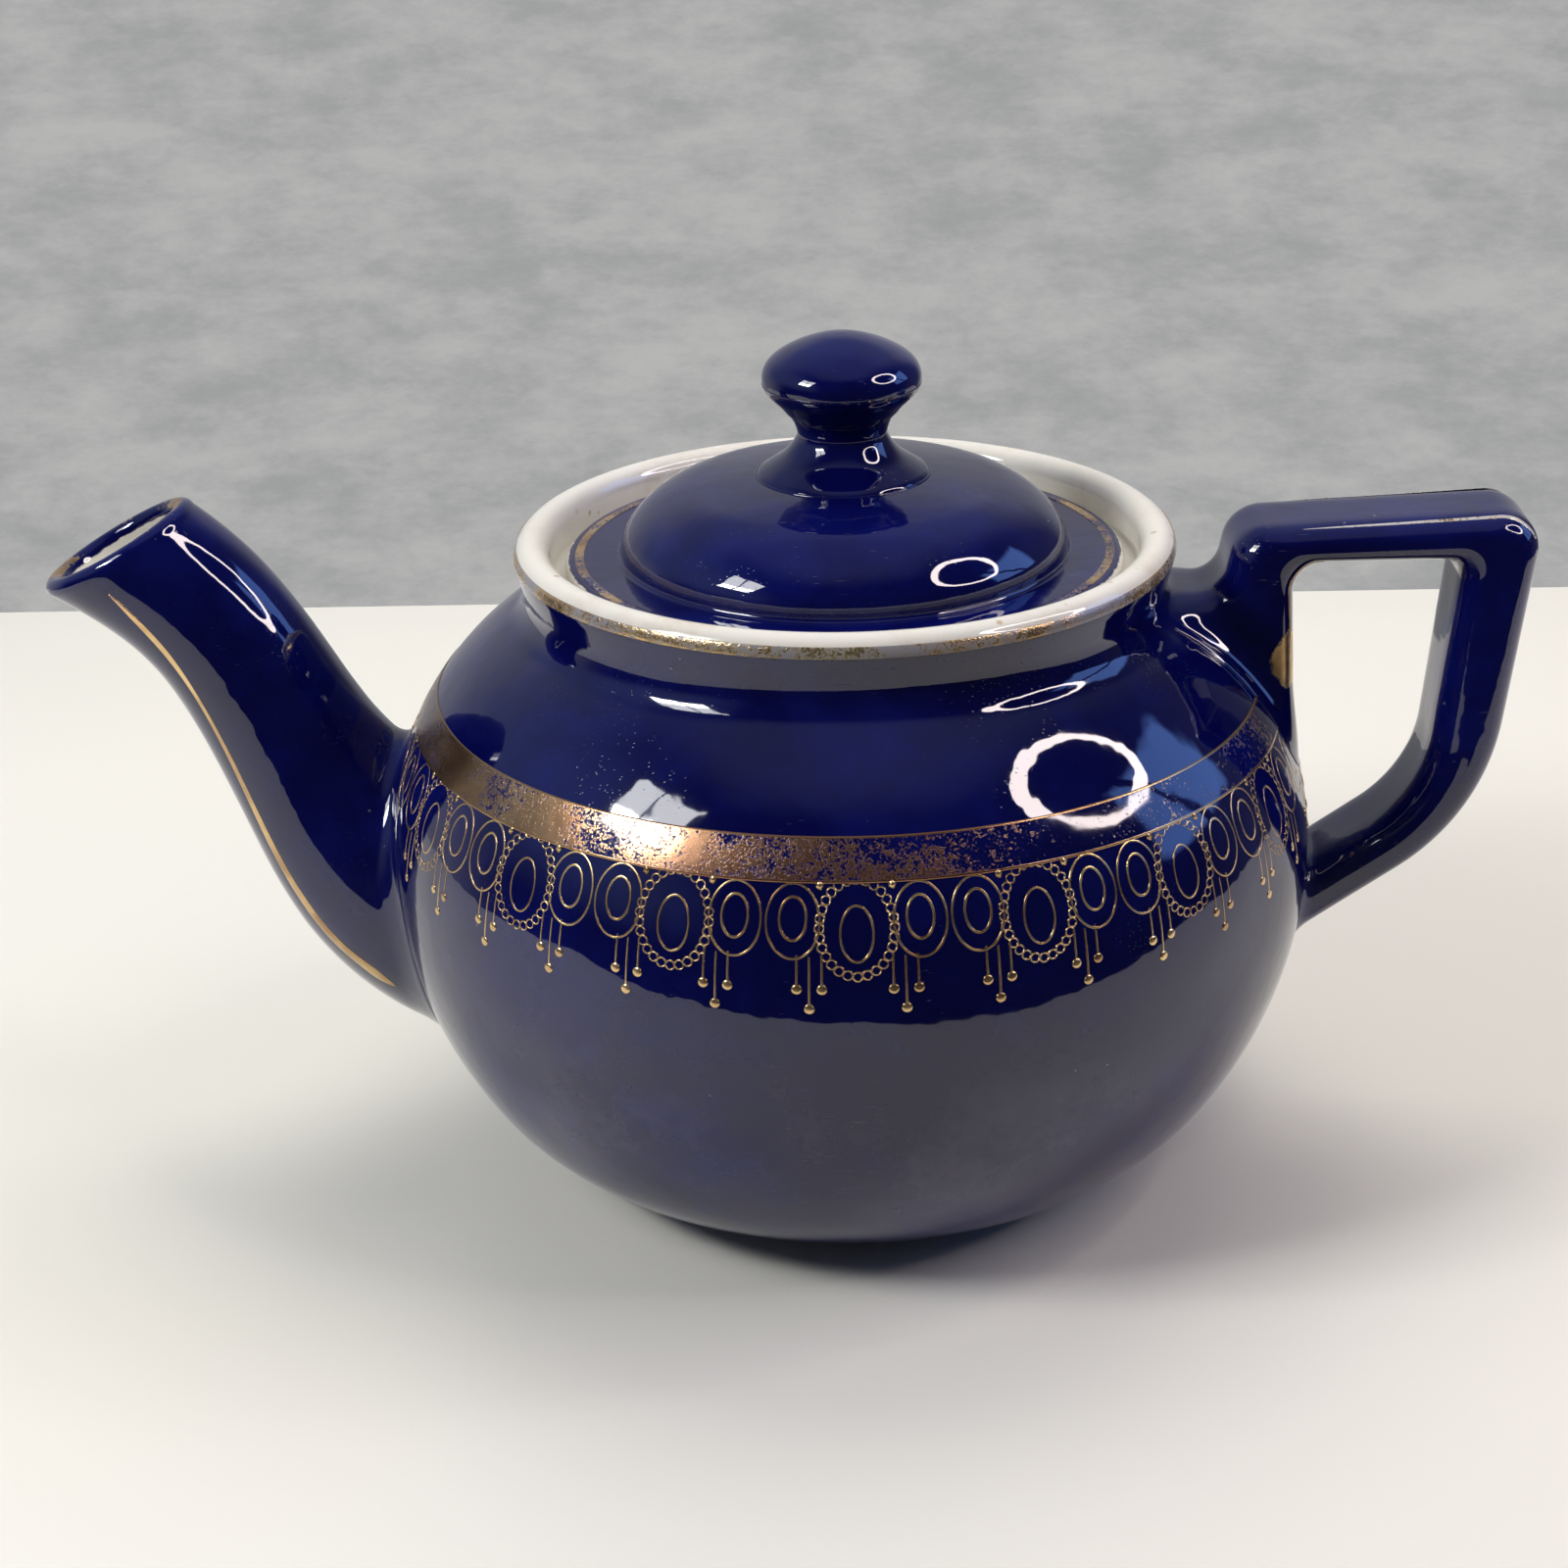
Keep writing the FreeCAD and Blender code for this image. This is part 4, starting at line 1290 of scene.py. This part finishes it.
class TEAPOT_OT_handle(bpy.types.Operator):
    """Make the square handle, its two seams and the gold on its edges"""
    bl_idname = "teapot.handle"
    bl_label = "Handle"

    def execute(self, context):
        form = PotForm()
        shape = HandleForm(form)
        skin, outward = shape.trimmed(form, 190)
        self.body(skin)
        self.seams(form, shape)
        self.gold_lines(form, shape, skin, outward)
        return {"FINISHED"}

    def body(self, skin):
        """The bar, closed inside the pot, with rubbed gold marked on its front limb."""
        rows, columns = skin.shape[:2]
        faces = net(rows, columns)
        vertices = np.vstack([skin.reshape(-1, 3), skin[0].mean(0), skin[-1].mean(0)])
        last = rows * columns
        for column in range(columns):
            beside = (column + 1) % columns
            faces.append((last, beside, column))
            faces.append((last + 1, last - columns + column, last - columns + beside))
        away = np.abs(skin) - np.array(HANDLE_PATCH) * MM
        far_off = np.linalg.norm(away * np.array((1, 0.8, 0.7)), axis=-1)
        gilt = np.clip(1.6 - far_off / (HANDLE_PATCH_REACH * MM), 0.0, 1.0)
        gilt = np.r_[gilt.ravel(), 0.0, 0.0]
        piece = new_piece("handle_glazed", vertices, faces, {"gilt": gilt})
        finished(piece, "pot", glaze("cobalt_glaze_handle", 5), ("handle",))

    def seams(self, form, shape):
        """The bead of glazed slip round each root."""
        bar = settings().handle
        material = slip_glaze("seam_glaze_handle", 6)
        for name, node, gaps, first, fillet in (
                ("upper_seam", "handle_upper_slip", shape.front, False, bar.root_fillet),
                ("lower_seam", "handle_lower_slip", shape.back, True, bar.tail_fillet)):
            loop = form.seam(shape.grid, shape.outward, crossing(gaps, first), fillet)
            seam = seam_bead(name, loop, 0.45 * MM, material)
            finished(seam, "pot", material, (node,))

    def gold_lines(self, form, shape, skin, outward):
        """The worn gold lines inside the front limb and along the top, on both sides; the inner
        line partly stands in for a painted reflection, and the top line's white share is a painted
        highlight.
        """
        # The line inside the limb is dull gold that partly stands in for a painted reflection along
        # the edge
        gold = gilding("limb_gold_and_painted_reflection", 7, cover=0.66, stipple=0.8)
        # The top line's gold lies over a large share of white: a painted highlight that makes the
        # line pale along the edge
        rubbed = gilding("rubbed_gold_and_painted_highlight", 16, cover=0.44, stipple=1.2, ground=0.7)
        front_rows = len(skin) // 2
        inside = shape.nearest((1, 0.7, -1, -0.7))
        way_in = skin[:front_rows, inside]
        limb_run = np.flatnonzero(
            (way_in[:, 2] > LIMB_LINE_LOW * MM) & (way_in[:, 0] < LIMB_LINE_OUT * MM))
        on_top = shape.nearest((0, -0.8, -1, -0.6))
        way_top = skin[:front_rows, on_top]
        high = form.lip_top - TOP_LINE_DROP * MM
        top_run = np.flatnonzero((way_top[:, 0] > TOP_LINE_START * MM) & (way_top[:, 2] > high))
        thin = settings().gilding.film * 0.6
        edge = settings().handle.edge
        for corner, run, widths, label, look in (
                (inside, limb_run, (0.1, 0.27, 0.22, 0.05), "edge_line", gold),
                (on_top, top_run, (0.05, 0.26, 0.55, 0.3), "top_line", rubbed)):
            for mirror, side_name in ((1, "near"), (-1, "far")):
                flip = np.array((1, mirror, 1))
                path = skin[run, corner] * flip
                out = outward[run, corner] * flip
                width = np.interp(np.linspace(0, 1, len(path)), (0, 0.15, 0.8, 1), widths) * MM
                line = ribbon(f"{label}_{side_name}", path, out, width, thin, edge)
                finished(line, "pot", look)


class TEAPOT_OT_lid(bpy.types.Operator):
    """Make the lid with its flange, crown, skirt and steam hole"""
    bl_idname = "teapot.lid"
    bl_label = "Lid"

    def execute(self, context):
        form = PotForm()
        lid = settings().lid
        piece = turned("lid_glazed", *self.outline(form), steps=240)
        reach = form.crown_radius - lid.steam_inset
        around = math.pi - lid.steam_turn
        lean = lid.steam_lean
        outward = np.array((math.cos(around), math.sin(around), 0.0))
        place = reach * outward + UP * (form.crown_bend[1] + lid.crown_edge / 2)
        way = math.sin(lean) * outward + UP * math.cos(lean)
        drilled(piece, [(place, way, lid.steam_hole, 4 * lid.wall)])
        finished(piece, "lid", glaze("cobalt_glaze_lid", 8), ("lid",))
        return {"FINISHED"}

    def crown(self, form):
        """The crown's dome and the edge in which it turns down to the flange: a wide bend and a
        tight one, which meet at the brow."""
        lid = settings().lid
        middle = np.array((0.0, form.crown_middle))
        ease = np.array((math.sin(lid.crown_ease), math.cos(lid.crown_ease)))
        brow = np.array((math.sin(lid.crown_brow), math.cos(lid.crown_brow)))
        start = middle + lid.crown_arc * ease
        turn_down = np.array((
            (brow[0] - ease[0], 1 - brow[0]),
            (ease[1] - brow[1], brow[1]),
        ))
        to_foot = np.array((form.crown_radius - start[0], start[1] - form.crown_bend[1]))
        wide, tight = np.linalg.solve(turn_down, to_foot)
        wide_middle = start - wide * ease
        tight_middle = wide_middle + (wide - tight) * brow
        first, second = math.pi / 2 - lid.crown_ease, math.pi / 2 - lid.crown_brow
        dome = bow(middle, lid.crown_arc, math.pi / 2, first)
        edge = np.vstack([
            bow(wide_middle, wide, first, second, 0.5 * MM),
            bow(tight_middle, tight, second, 0.0, 0.4 * MM)[1:],
        ])
        step = straight(edge[-1], (form.crown_radius, form.flange_top), 0.3 * MM)
        return dome, np.vstack([edge, step[1:]])

    def outline(self, form):
        """The lid's outline from the top of its crown to the middle of its underside, and the
        parts of it that are white: the rubbed rim of the flange and everything below."""
        lid = settings().lid
        skirt = form.mouth - lid.skirt_gap
        skirt_in = skirt - lid.skirt_wall
        low = form.ledge - lid.skirt_depth
        under = lid.crown_arc - lid.wall
        ceiling = math.acos(form.crown_bend[0] / under)
        inside = bow((0.0, form.crown_middle), under, ceiling, math.pi / 2)
        corners = [
            (form.crown_radius, form.flange_top),
            (form.flange_radius, form.flange_top),
            (form.flange_radius, form.ledge),
            (skirt, form.ledge),
            (skirt, low),
            (skirt_in, low),
            (skirt_in, form.ledge),
            inside[0],
        ]
        flange = [straight(a, b, 0.6 * MM) for a, b in zip(corners, corners[1:])]
        eases = np.array((0, 0.8, 1.2, 1.0, 0.8, 1.4, 1.4, 2.0, 2.5)) * MM
        outline, owner = joined([*self.crown(form), *flange, inside], eases)
        flange_run = 2
        inset = form.flange_radius - 1.3 * MM
        rubbed = np.clip((outline[:, 0] - inset) / (1.0 * MM), 0.0, 1.0) * 0.62
        white = np.where(owner == flange_run, rubbed, (owner > flange_run).astype(float))
        return outline, {"white": white}


class TEAPOT_OT_knob(bpy.types.Operator):
    """Make the mushroom knob and the seam round its foot"""
    bl_idname = "teapot.knob"
    bl_label = "Knob"

    def execute(self, context):
        form = PotForm()
        piece = turned("knob_glazed", self.outline(form), steps=160)
        finished(piece, "lid", glaze("cobalt_glaze_knob", 9), ("lid_knob",))
        self.seam(form)
        return {"FINISHED"}

    def outline(self, form):
        """The knob's outline from the middle of its underside to its top."""
        lid = settings().lid
        widest = form.crown_top + lid.rim_height
        sunk = form.crown_middle + math.sqrt(lid.crown_arc ** 2 - lid.knob_foot ** 2)
        cap_height = form.crown_top + lid.knob_height - widest
        bowl = np.vstack([
            np.array(KNOB_SIDE) * MM + (lid.knob_neck, 0.0),
            np.array(KNOB_BROW) * MM + (lid.knob_radius, 0.0),
            np.array(KNOB_CAP) * (lid.knob_radius, cap_height),
        ])
        bowl[:, 1] += widest
        knots = along(bowl)
        bowl = smooth_through(knots, bowl, np.linspace(0, knots[-1], 110))
        bowl[-1, 0] = 0.0
        ridge = (lid.knob_foot, sunk + 0.5 * MM)
        root = (lid.knob_foot + 0.7 * MM, sunk - 0.5 * MM)
        runs = [
            straight((0.0, root[1]), root),
            straight(root, ridge, 0.4 * MM),
            straight(ridge, bowl[0], 0.4 * MM),
            bowl,
        ]
        outline, _ = joined(runs, [0, 0.5 * MM, 0.7 * MM])
        return outline

    def seam(self, form):
        """The bead of glazed slip round the knob's foot."""
        lid = settings().lid
        steps = 120
        angles = np.arange(steps) * 2 * math.pi / steps
        ring = lid.knob_foot + 0.4 * MM
        height = form.crown_middle + math.sqrt(lid.crown_arc ** 2 - ring ** 2) - 0.1 * MM
        loop = np.c_[ring * np.cos(angles), ring * np.sin(angles), np.full(steps, height)]
        seam = seam_bead("knob_seam", loop, 0.6 * MM, slip_glaze("seam_glaze_knob", 10))
        finished(seam, "lid", seam.data.materials[0], ("knob_slip",))


class TEAPOT_OT_gilding(bpy.types.Operator):
    """Lay the shoulder band and the lines on the lip, the lid and the knob"""
    bl_idname = "teapot.gilding"
    bl_label = "Gilded band and lines"

    def execute(self, context):
        form = PotForm()
        pot = form.pot
        lid = settings().lid
        gilt = settings().gilding
        thick = gilt.film + 0.12 * MM

        def lay(name, body, outer, look, node, **ring):
            """Lay a film round the pot's axis."""
            piece = hoop(name, film(outer, thick), **ring)
            finished(piece, body, look, (node,))

        low = math.asin(gilt.band_low / pot.shoulder_arc)
        high = math.asin(gilt.band_high / pot.shoulder_arc)
        outer = bow(form.shoulder, pot.shoulder_arc + gilt.film, low, high, 0.25 * MM)
        across = np.linspace(0, 1, len(outer))
        handle_side = settings().handle.width / 2 + 2.0 * MM
        gap = math.asin(handle_side / (form.shoulder[0] + pot.shoulder_arc * math.cos(high)))
        gold = gilding("band_gold", 11, cover=0.44, stipple=1.9, lines=True, fade=0.20)
        lay("band_gilt", "pot", outer, gold, "shoulder_band", steps=540, start=gap,
            sweep=2 * math.pi - 2 * gap, marks={"across": np.r_[across, across[::-1]]})

        roll = pot.lip / 2 + gilt.film
        outer = bow(form.lip_middle, roll, math.radians(-6), math.radians(32), 0.2 * MM)
        gold = gilding("lip_gold", 12, cover=0.53, stipple=1.2, ground=0.35)
        lay("lip_gilt", "pot", outer, gold, "lip_line", steps=420)

        edge = form.flange_radius - gilt.lid_line_inset
        top = form.flange_top + gilt.film
        outer = straight((edge, top), (edge - gilt.lid_line, top), 0.3 * MM)
        gold = gilding("lid_gold", 13, cover=0.47, stipple=1.2)
        lay("lid_gilt", "lid", outer, gold, "lid_line", steps=360)

        rim = form.crown_top + lid.rim_height
        side = lid.knob_radius + gilt.film
        low, high = (side - 0.20 * MM, rim - 1.0 * MM), (side - 0.07 * MM, rim - 0.55 * MM)
        gold = gilding("knob_gold", 14, cover=0.45, stipple=1.0)
        lay("knob_gilt", "lid", straight(low, high, 0.15 * MM), gold, "knob_line", steps=200)
        return {"FINISHED"}


class TEAPOT_OT_lace(bpy.types.Operator):
    """Draw the gold lace of ovals, beads and drops round the shoulder"""
    bl_idname = "teapot.lace"
    bl_label = "Gilded lace"

    def execute(self, context):
        form = PotForm()
        gilt = settings().gilding
        drawn_radius = 72 * MM
        sizes = {
            "Repeats": int(gilt.repeats),
            "Period": 2 * math.pi * drawn_radius / gilt.repeats,
            "Stroke": gilt.stroke,
            "Beads": int(gilt.beads),
            "Bead": gilt.bead,
            "Ball": gilt.ball,
            "Relief": 0.22,
            "Start": gilt.start,
            "Shoulder Arc": form.pot.shoulder_arc,
            "Shoulder Radius": float(form.shoulder[0]),
            "Shoulder Height": float(form.shoulder[1]),
        }
        tree, bench, given, keys = geometry_tree("gilt_lace", sizes)
        step = bench.node("ShaderNodeCombineXYZ", {}, {"X": given["Period"]})
        row = bench.node(
            "GeometryNodeMeshLine", {"mode": "OFFSET"},
            {"Count": given["Repeats"], "Offset": step})
        flat = bench.made_real(bench.copied(self.motif(bench, given), row))
        gold = gilding("lace_gold", 15, cover=0.86, stipple=0.9)
        bench.give_out(self.opened(bench, self.bent(bench, given, flat)), gold)
        lace = grown("lace_gilt", tree, keys, sizes)
        finished(lace, "pot", gold)
        return {"FINISHED"}

    def motif(self, bench, given):
        """One repeat of the lace, drawn flat: a beaded oval, and beside it ovals, drops and a
        lozenge."""
        stroke = given["Stroke"]
        places = bench.resampled(bench.oval(0.0, BEADED_OVAL, 72), given["Beads"])
        bead = bench.tube(bench.circle(10, given["Bead"] / 2), stroke * 0.75, 4)
        shapes = [bench.copied(bead, places), bench.tube(bench.oval(0.0, BEADED_EYE), stroke)]
        for side in (-1, 1):
            middle = side * SIDE_OVAL_ASIDE * MM
            shapes.append(bench.tube(bench.oval(middle, SIDE_OVAL), stroke))
            shapes.append(bench.tube(bench.oval(middle, SIDE_EYE), stroke * 1.15))
            group = side * DROPS_ASIDE * MM
            for step, top, end in DROPS:
                x = group + step * MM
                run = bench.node(
                    "GeometryNodeCurvePrimitiveLine", {"mode": "POINTS"},
                    {"Start": (x, top * MM, 0.0), "End": (x, end * MM, 0.0)})
                shapes.append(bench.tube(bench.resampled(run, 7), stroke * 0.95))
                shapes.append(bench.put(bench.ball(given["Ball"] / 2, 2), (x, end * MM, 0.0)))
            place = (side * LOZENGE_ASIDE * MM, LOZENGE_HEIGHT * MM, 0.0)
            shapes.append(bench.put(bench.ball(1.0 * MM, 1), place, (0.7, 0.95, 0.6)))
        return bench.made_real(bench.joined(shapes))

    def bent(self, bench, given, flat):
        """The flat row of repeats bent round the shoulder."""
        x, y, z = bench.position()
        around = given["Start"] + x / (given["Period"] * given["Repeats"]) * (2 * math.pi)
        rise = y / given["Shoulder Arc"]
        reach = given["Shoulder Arc"] + z * given["Relief"]
        radius = given["Shoulder Radius"] + reach * rise.math("COSINE", rise)
        place = bench.node("ShaderNodeCombineXYZ", {}, {
            "X": radius * around.math("SINE", around),
            "Y": radius * around.math("COSINE", around) * -1.0,
            "Z": given["Shoulder Height"] + reach * rise.math("SINE", rise),
        })
        return bench.node("GeometryNodeSetPosition", {}, {"Geometry": flat, "Position": place})

    def opened(self, bench, lace):
        """The lace left out round the spout's root and the handle's."""
        x, y, z = bench.position()
        aside = y / (SPOUT_OPENING_SIDE * MM)
        above = (z - SPOUT_OPENING_MIDDLE * MM) / (SPOUT_OPENING_RISE * MM)
        spout = (aside ** 2 + above ** 2 < 1.0) * (x < 0.0)
        beside = settings().handle.width / 2 + HANDLE_OPENING_GAP * MM
        handle = (abs(y) < beside) * (z > HANDLE_OPENING_LOW * MM) * (x > 0.0)
        return bench.node(
            "GeometryNodeDeleteGeometry", {"domain": "POINT"},
            {"Geometry": lace, "Selection": spout + handle > 0.5})


class TEAPOT_OT_stage(bpy.types.Operator):
    """Set the pale board, the room, the soft lights and the camera"""
    bl_idname = "teapot.stage"
    bl_label = "Stage"

    def execute(self, context):
        scene = context.scene
        scene.view_settings.view_transform = "Standard"
        self.floor()
        self.room(scene)
        window = self.lamp(
            "window", (-0.57, -0.31, 0.62), size=0.26, power=6.2, colour=(0.97, 0.98, 1.0))
        bench, across, upward = self.lit_parts(window)
        self.glow(bench, (abs(across - 0.5) > 0.03) * (0.35 + (upward < 0.42) * 1.3))
        ring = self.lamp(
            "ring", (0.61, -0.13, 0.63), size=0.48, power=13.0, colour=(1.0, 0.87, 0.85))
        bench, across, upward = self.lit_parts(ring)
        across = across - 0.5
        upward = upward - 0.5
        away = (across * across + upward * upward) ** 0.5
        self.glow(bench, (away > 0.405) * (away < 0.5))
        self.lamp(
            "ceiling", (0.06, 0.40, 0.80), size=0.70, power=5.6, colour=(1.0, 0.97, 0.88),
            mirrored=False)
        self.camera(scene)
        return {"FINISHED"}

    def floor(self):
        """A pale board with rounded corners and edges and its front cut back beside the handle."""
        half_wide, front, back = 0.42, -0.22, 0.265
        cut, ease, thick, edge = 0.38, 0.03, 0.018, 0.002
        corners = np.array((
            (half_wide, back),
            (-half_wide, back),
            (-half_wide, front),
            (0.0, front),
            (half_wide, front + cut * half_wide),
        ))
        outline = []
        for before, corner, after in zip(np.roll(corners, 1, 0), corners, np.roll(corners, -1, 0)):
            start = corner + (before - corner) * ease / np.linalg.norm(before - corner)
            end = corner + (after - corner) * ease / np.linalg.norm(after - corner)
            outline += [start[None], rounding(start, corner, end), end[None]]
        outline = np.vstack(outline)
        inward = -np.sign(outline)
        count = len(outline)
        rings = [np.c_[outline, np.full(count, -thick)]]
        for bend in np.linspace(0, math.pi / 2, 5):
            sunk = edge * (1 - math.sin(bend))
            drawn_in = outline + inward * edge * (1 - math.cos(bend))
            rings.append(np.c_[drawn_in, np.full(count, -sunk)])
        faces = net(len(rings), count)
        last = (len(rings) - 1) * count
        faces += [tuple(range(count))[::-1], tuple(range(last, last + count))]
        board = new_piece("floor", np.vstack(rings), faces)
        material, bench = new_material("pale_floor")
        place = object_place(bench, 0)
        pale = bench.mix((0.70, 0.68, 0.605), (0.74, 0.72, 0.645), bench.noise(place, 5.0, 4.0))
        put_out(bench, bench.node(
            "ShaderNodeBsdfPrincipled", {}, {"Base Color": pale, "Roughness": 0.6}))
        board.data.materials.append(material)

    def room(self, scene):
        """The room that the glaze mirrors: dark in front, grey behind, dim above, bluish on the
        spout's side and with a barred blue pane on the handle's side. Seen straight, it is a plain
        grey wall."""
        world = bpy.data.worlds.new("studio")
        scene.world = world
        world.use_nodes = True
        world.node_tree.nodes.clear()
        bench = Bench(world.node_tree)
        way = bench.node("ShaderNodeTexCoord", {}, {}, "Generated")
        x, y, z = bench.node("ShaderNodeSeparateXYZ", {}, {0: way}, ("X", "Y", "Z"))
        back = bench.mix((0.42, 0.42, 0.43), (0.24, 0.27, 0.36), z.span(0.40, 0.66))
        behind = y.span(-0.10, 0.50) * x.span(0.70, 0.36, 0.15, 1.0)
        room = bench.mix((0.020, 0.020, 0.026), back, behind)
        room = bench.mix(room, (0.22, 0.27, 0.40), (x * -1.0).span(0.45, 0.85) * z.span(0.0, 0.35))
        room = bench.mix(room, (0.20, 0.22, 0.29), z.span(0.80, 0.97))
        pane = x.span(0.50, 0.60) * y.span(-0.13, -0.08) * y.span(0.40, 0.34)
        pane = pane * z.span(0.15, 0.19) * z.span(0.60, 0.55)
        bar = abs(y + z * 0.55 - 0.30).span(0.015, 0.03)
        room = bench.mix(room, (0.60, 1.15, 3.1), pane * bar)
        stain = bench.noise(bench.moved(way, scale=(1.0, 1.0, 2.4)), 22.0, 8.0, 0.72)
        wall = bench.mix((0.34, 0.345, 0.345), (0.47, 0.475, 0.465), stain.span(0.30, 0.70))
        seen = bench.node("ShaderNodeLightPath", {}, {}, "Is Camera Ray")
        colour = bench.mix(room, wall, seen)
        light = bench.node("ShaderNodeBackground", {}, {"Color": colour, "Strength": 1.0})
        bench.node("ShaderNodeOutputWorld", {}, {"Surface": light})

    def lit_parts(self, data):
        """A bench for a lamp's own light, and the place across and along the lamp."""
        data.use_nodes = True
        data.node_tree.nodes.clear()
        bench = Bench(data.node_tree)
        spot = bench.node("ShaderNodeNewGeometry", {}, {}, "Parametric")
        return bench, *bench.node("ShaderNodeSeparateXYZ", {}, {0: spot}, ("X", "Y"))

    def glow(self, bench, strength):
        """Light a lamp by a pattern."""
        shine = bench.node("ShaderNodeEmission", {}, {"Strength": strength})
        bench.node("ShaderNodeOutputLight", {}, {"Surface": shine})

    def lamp(self, name, place, size, power, colour, mirrored=True):
        """A soft square lamp that points at the pot; the glaze mirrors it or not."""
        data = bpy.data.lights.new(name, "AREA")
        data.size = size
        data.energy = power
        data.color = colour
        lamp = bpy.data.objects.new(name, data)
        lamp.visible_glossy = mirrored
        aim = Vector((0.0, 0.0, 0.06))
        way = aim - Vector(place)
        turned_to = way.to_track_quat("-Z", "Y").to_matrix().to_4x4()
        lamp.matrix_world = Matrix.Translation(Vector(place)) @ turned_to
        bpy.context.scene.collection.objects.link(lamp)
        return data

    def camera(self, scene):
        """The photograph's viewpoint."""
        swing, pitch, roll = CAMERA_TURN, CAMERA_PITCH, CAMERA_ROLL
        right = np.array((math.cos(swing), -math.sin(swing), 0.0))
        level = np.array((math.sin(swing), math.cos(swing), 0.0))
        ahead = level * math.cos(pitch) - UP * math.sin(pitch)
        over = np.cross(right, ahead)
        side = math.cos(roll) * right + math.sin(roll) * over
        top = math.cos(roll) * over - math.sin(roll) * right
        data = bpy.data.cameras.new("camera")
        data.sensor_width = CAMERA_SENSOR
        data.lens = CAMERA_LENS
        data.clip_start = CAMERA_NEAR
        camera = bpy.data.objects.new("camera", data)
        matrix = np.eye(4)
        matrix[:3] = np.c_[side, top, -ahead, CAMERA_PLACE]
        camera.matrix_world = Matrix(matrix.tolist())
        scene.collection.objects.link(camera)
        scene.camera = camera


class TEAPOT_PT_sidebar(bpy.types.Panel):
    """The teapot's pieces and sizes"""
    bl_idname = "TEAPOT_PT_sidebar"
    bl_label = "Gilded cobalt teapot"
    bl_space_type = "VIEW_3D"
    bl_region_type = "UI"
    bl_category = "Teapot"

    def draw(self, context):
        for step in STEPS:
            self.layout.operator(step.bl_idname)
        teapot = context.scene.teapot
        for part in TeapotSettings.__annotations__:
            group = getattr(teapot, part)
            box = self.layout.box()
            for name in group.__annotations__:
                box.prop(group, name)


GROUPS = (PotSizes, SpoutSizes, HandleSizes, LidSizes, GildingSizes, Finishes, TeapotSettings)
STEPS = (
    TEAPOT_OT_pot,
    TEAPOT_OT_spout,
    TEAPOT_OT_handle,
    TEAPOT_OT_lid,
    TEAPOT_OT_knob,
    TEAPOT_OT_gilding,
    TEAPOT_OT_lace,
    TEAPOT_OT_stage,
)
CLASSES = (*GROUPS, *STEPS, TEAPOT_PT_sidebar)


def register():
    for one in CLASSES:
        bpy.utils.register_class(one)
    bpy.types.Scene.teapot = bpy.props.PointerProperty(type=TeapotSettings)


def unregister():
    del bpy.types.Scene.teapot
    for one in reversed(CLASSES):
        bpy.utils.unregister_class(one)


def main():
    """Register the steps and build every piece."""
    register()
    for make in (
        bpy.ops.teapot.pot,
        bpy.ops.teapot.spout,
        bpy.ops.teapot.handle,
        bpy.ops.teapot.lid,
        bpy.ops.teapot.knob,
        bpy.ops.teapot.gilding,
        bpy.ops.teapot.lace,
        bpy.ops.teapot.stage,
    ):
        make()


if __name__ == "__main__":
    main()
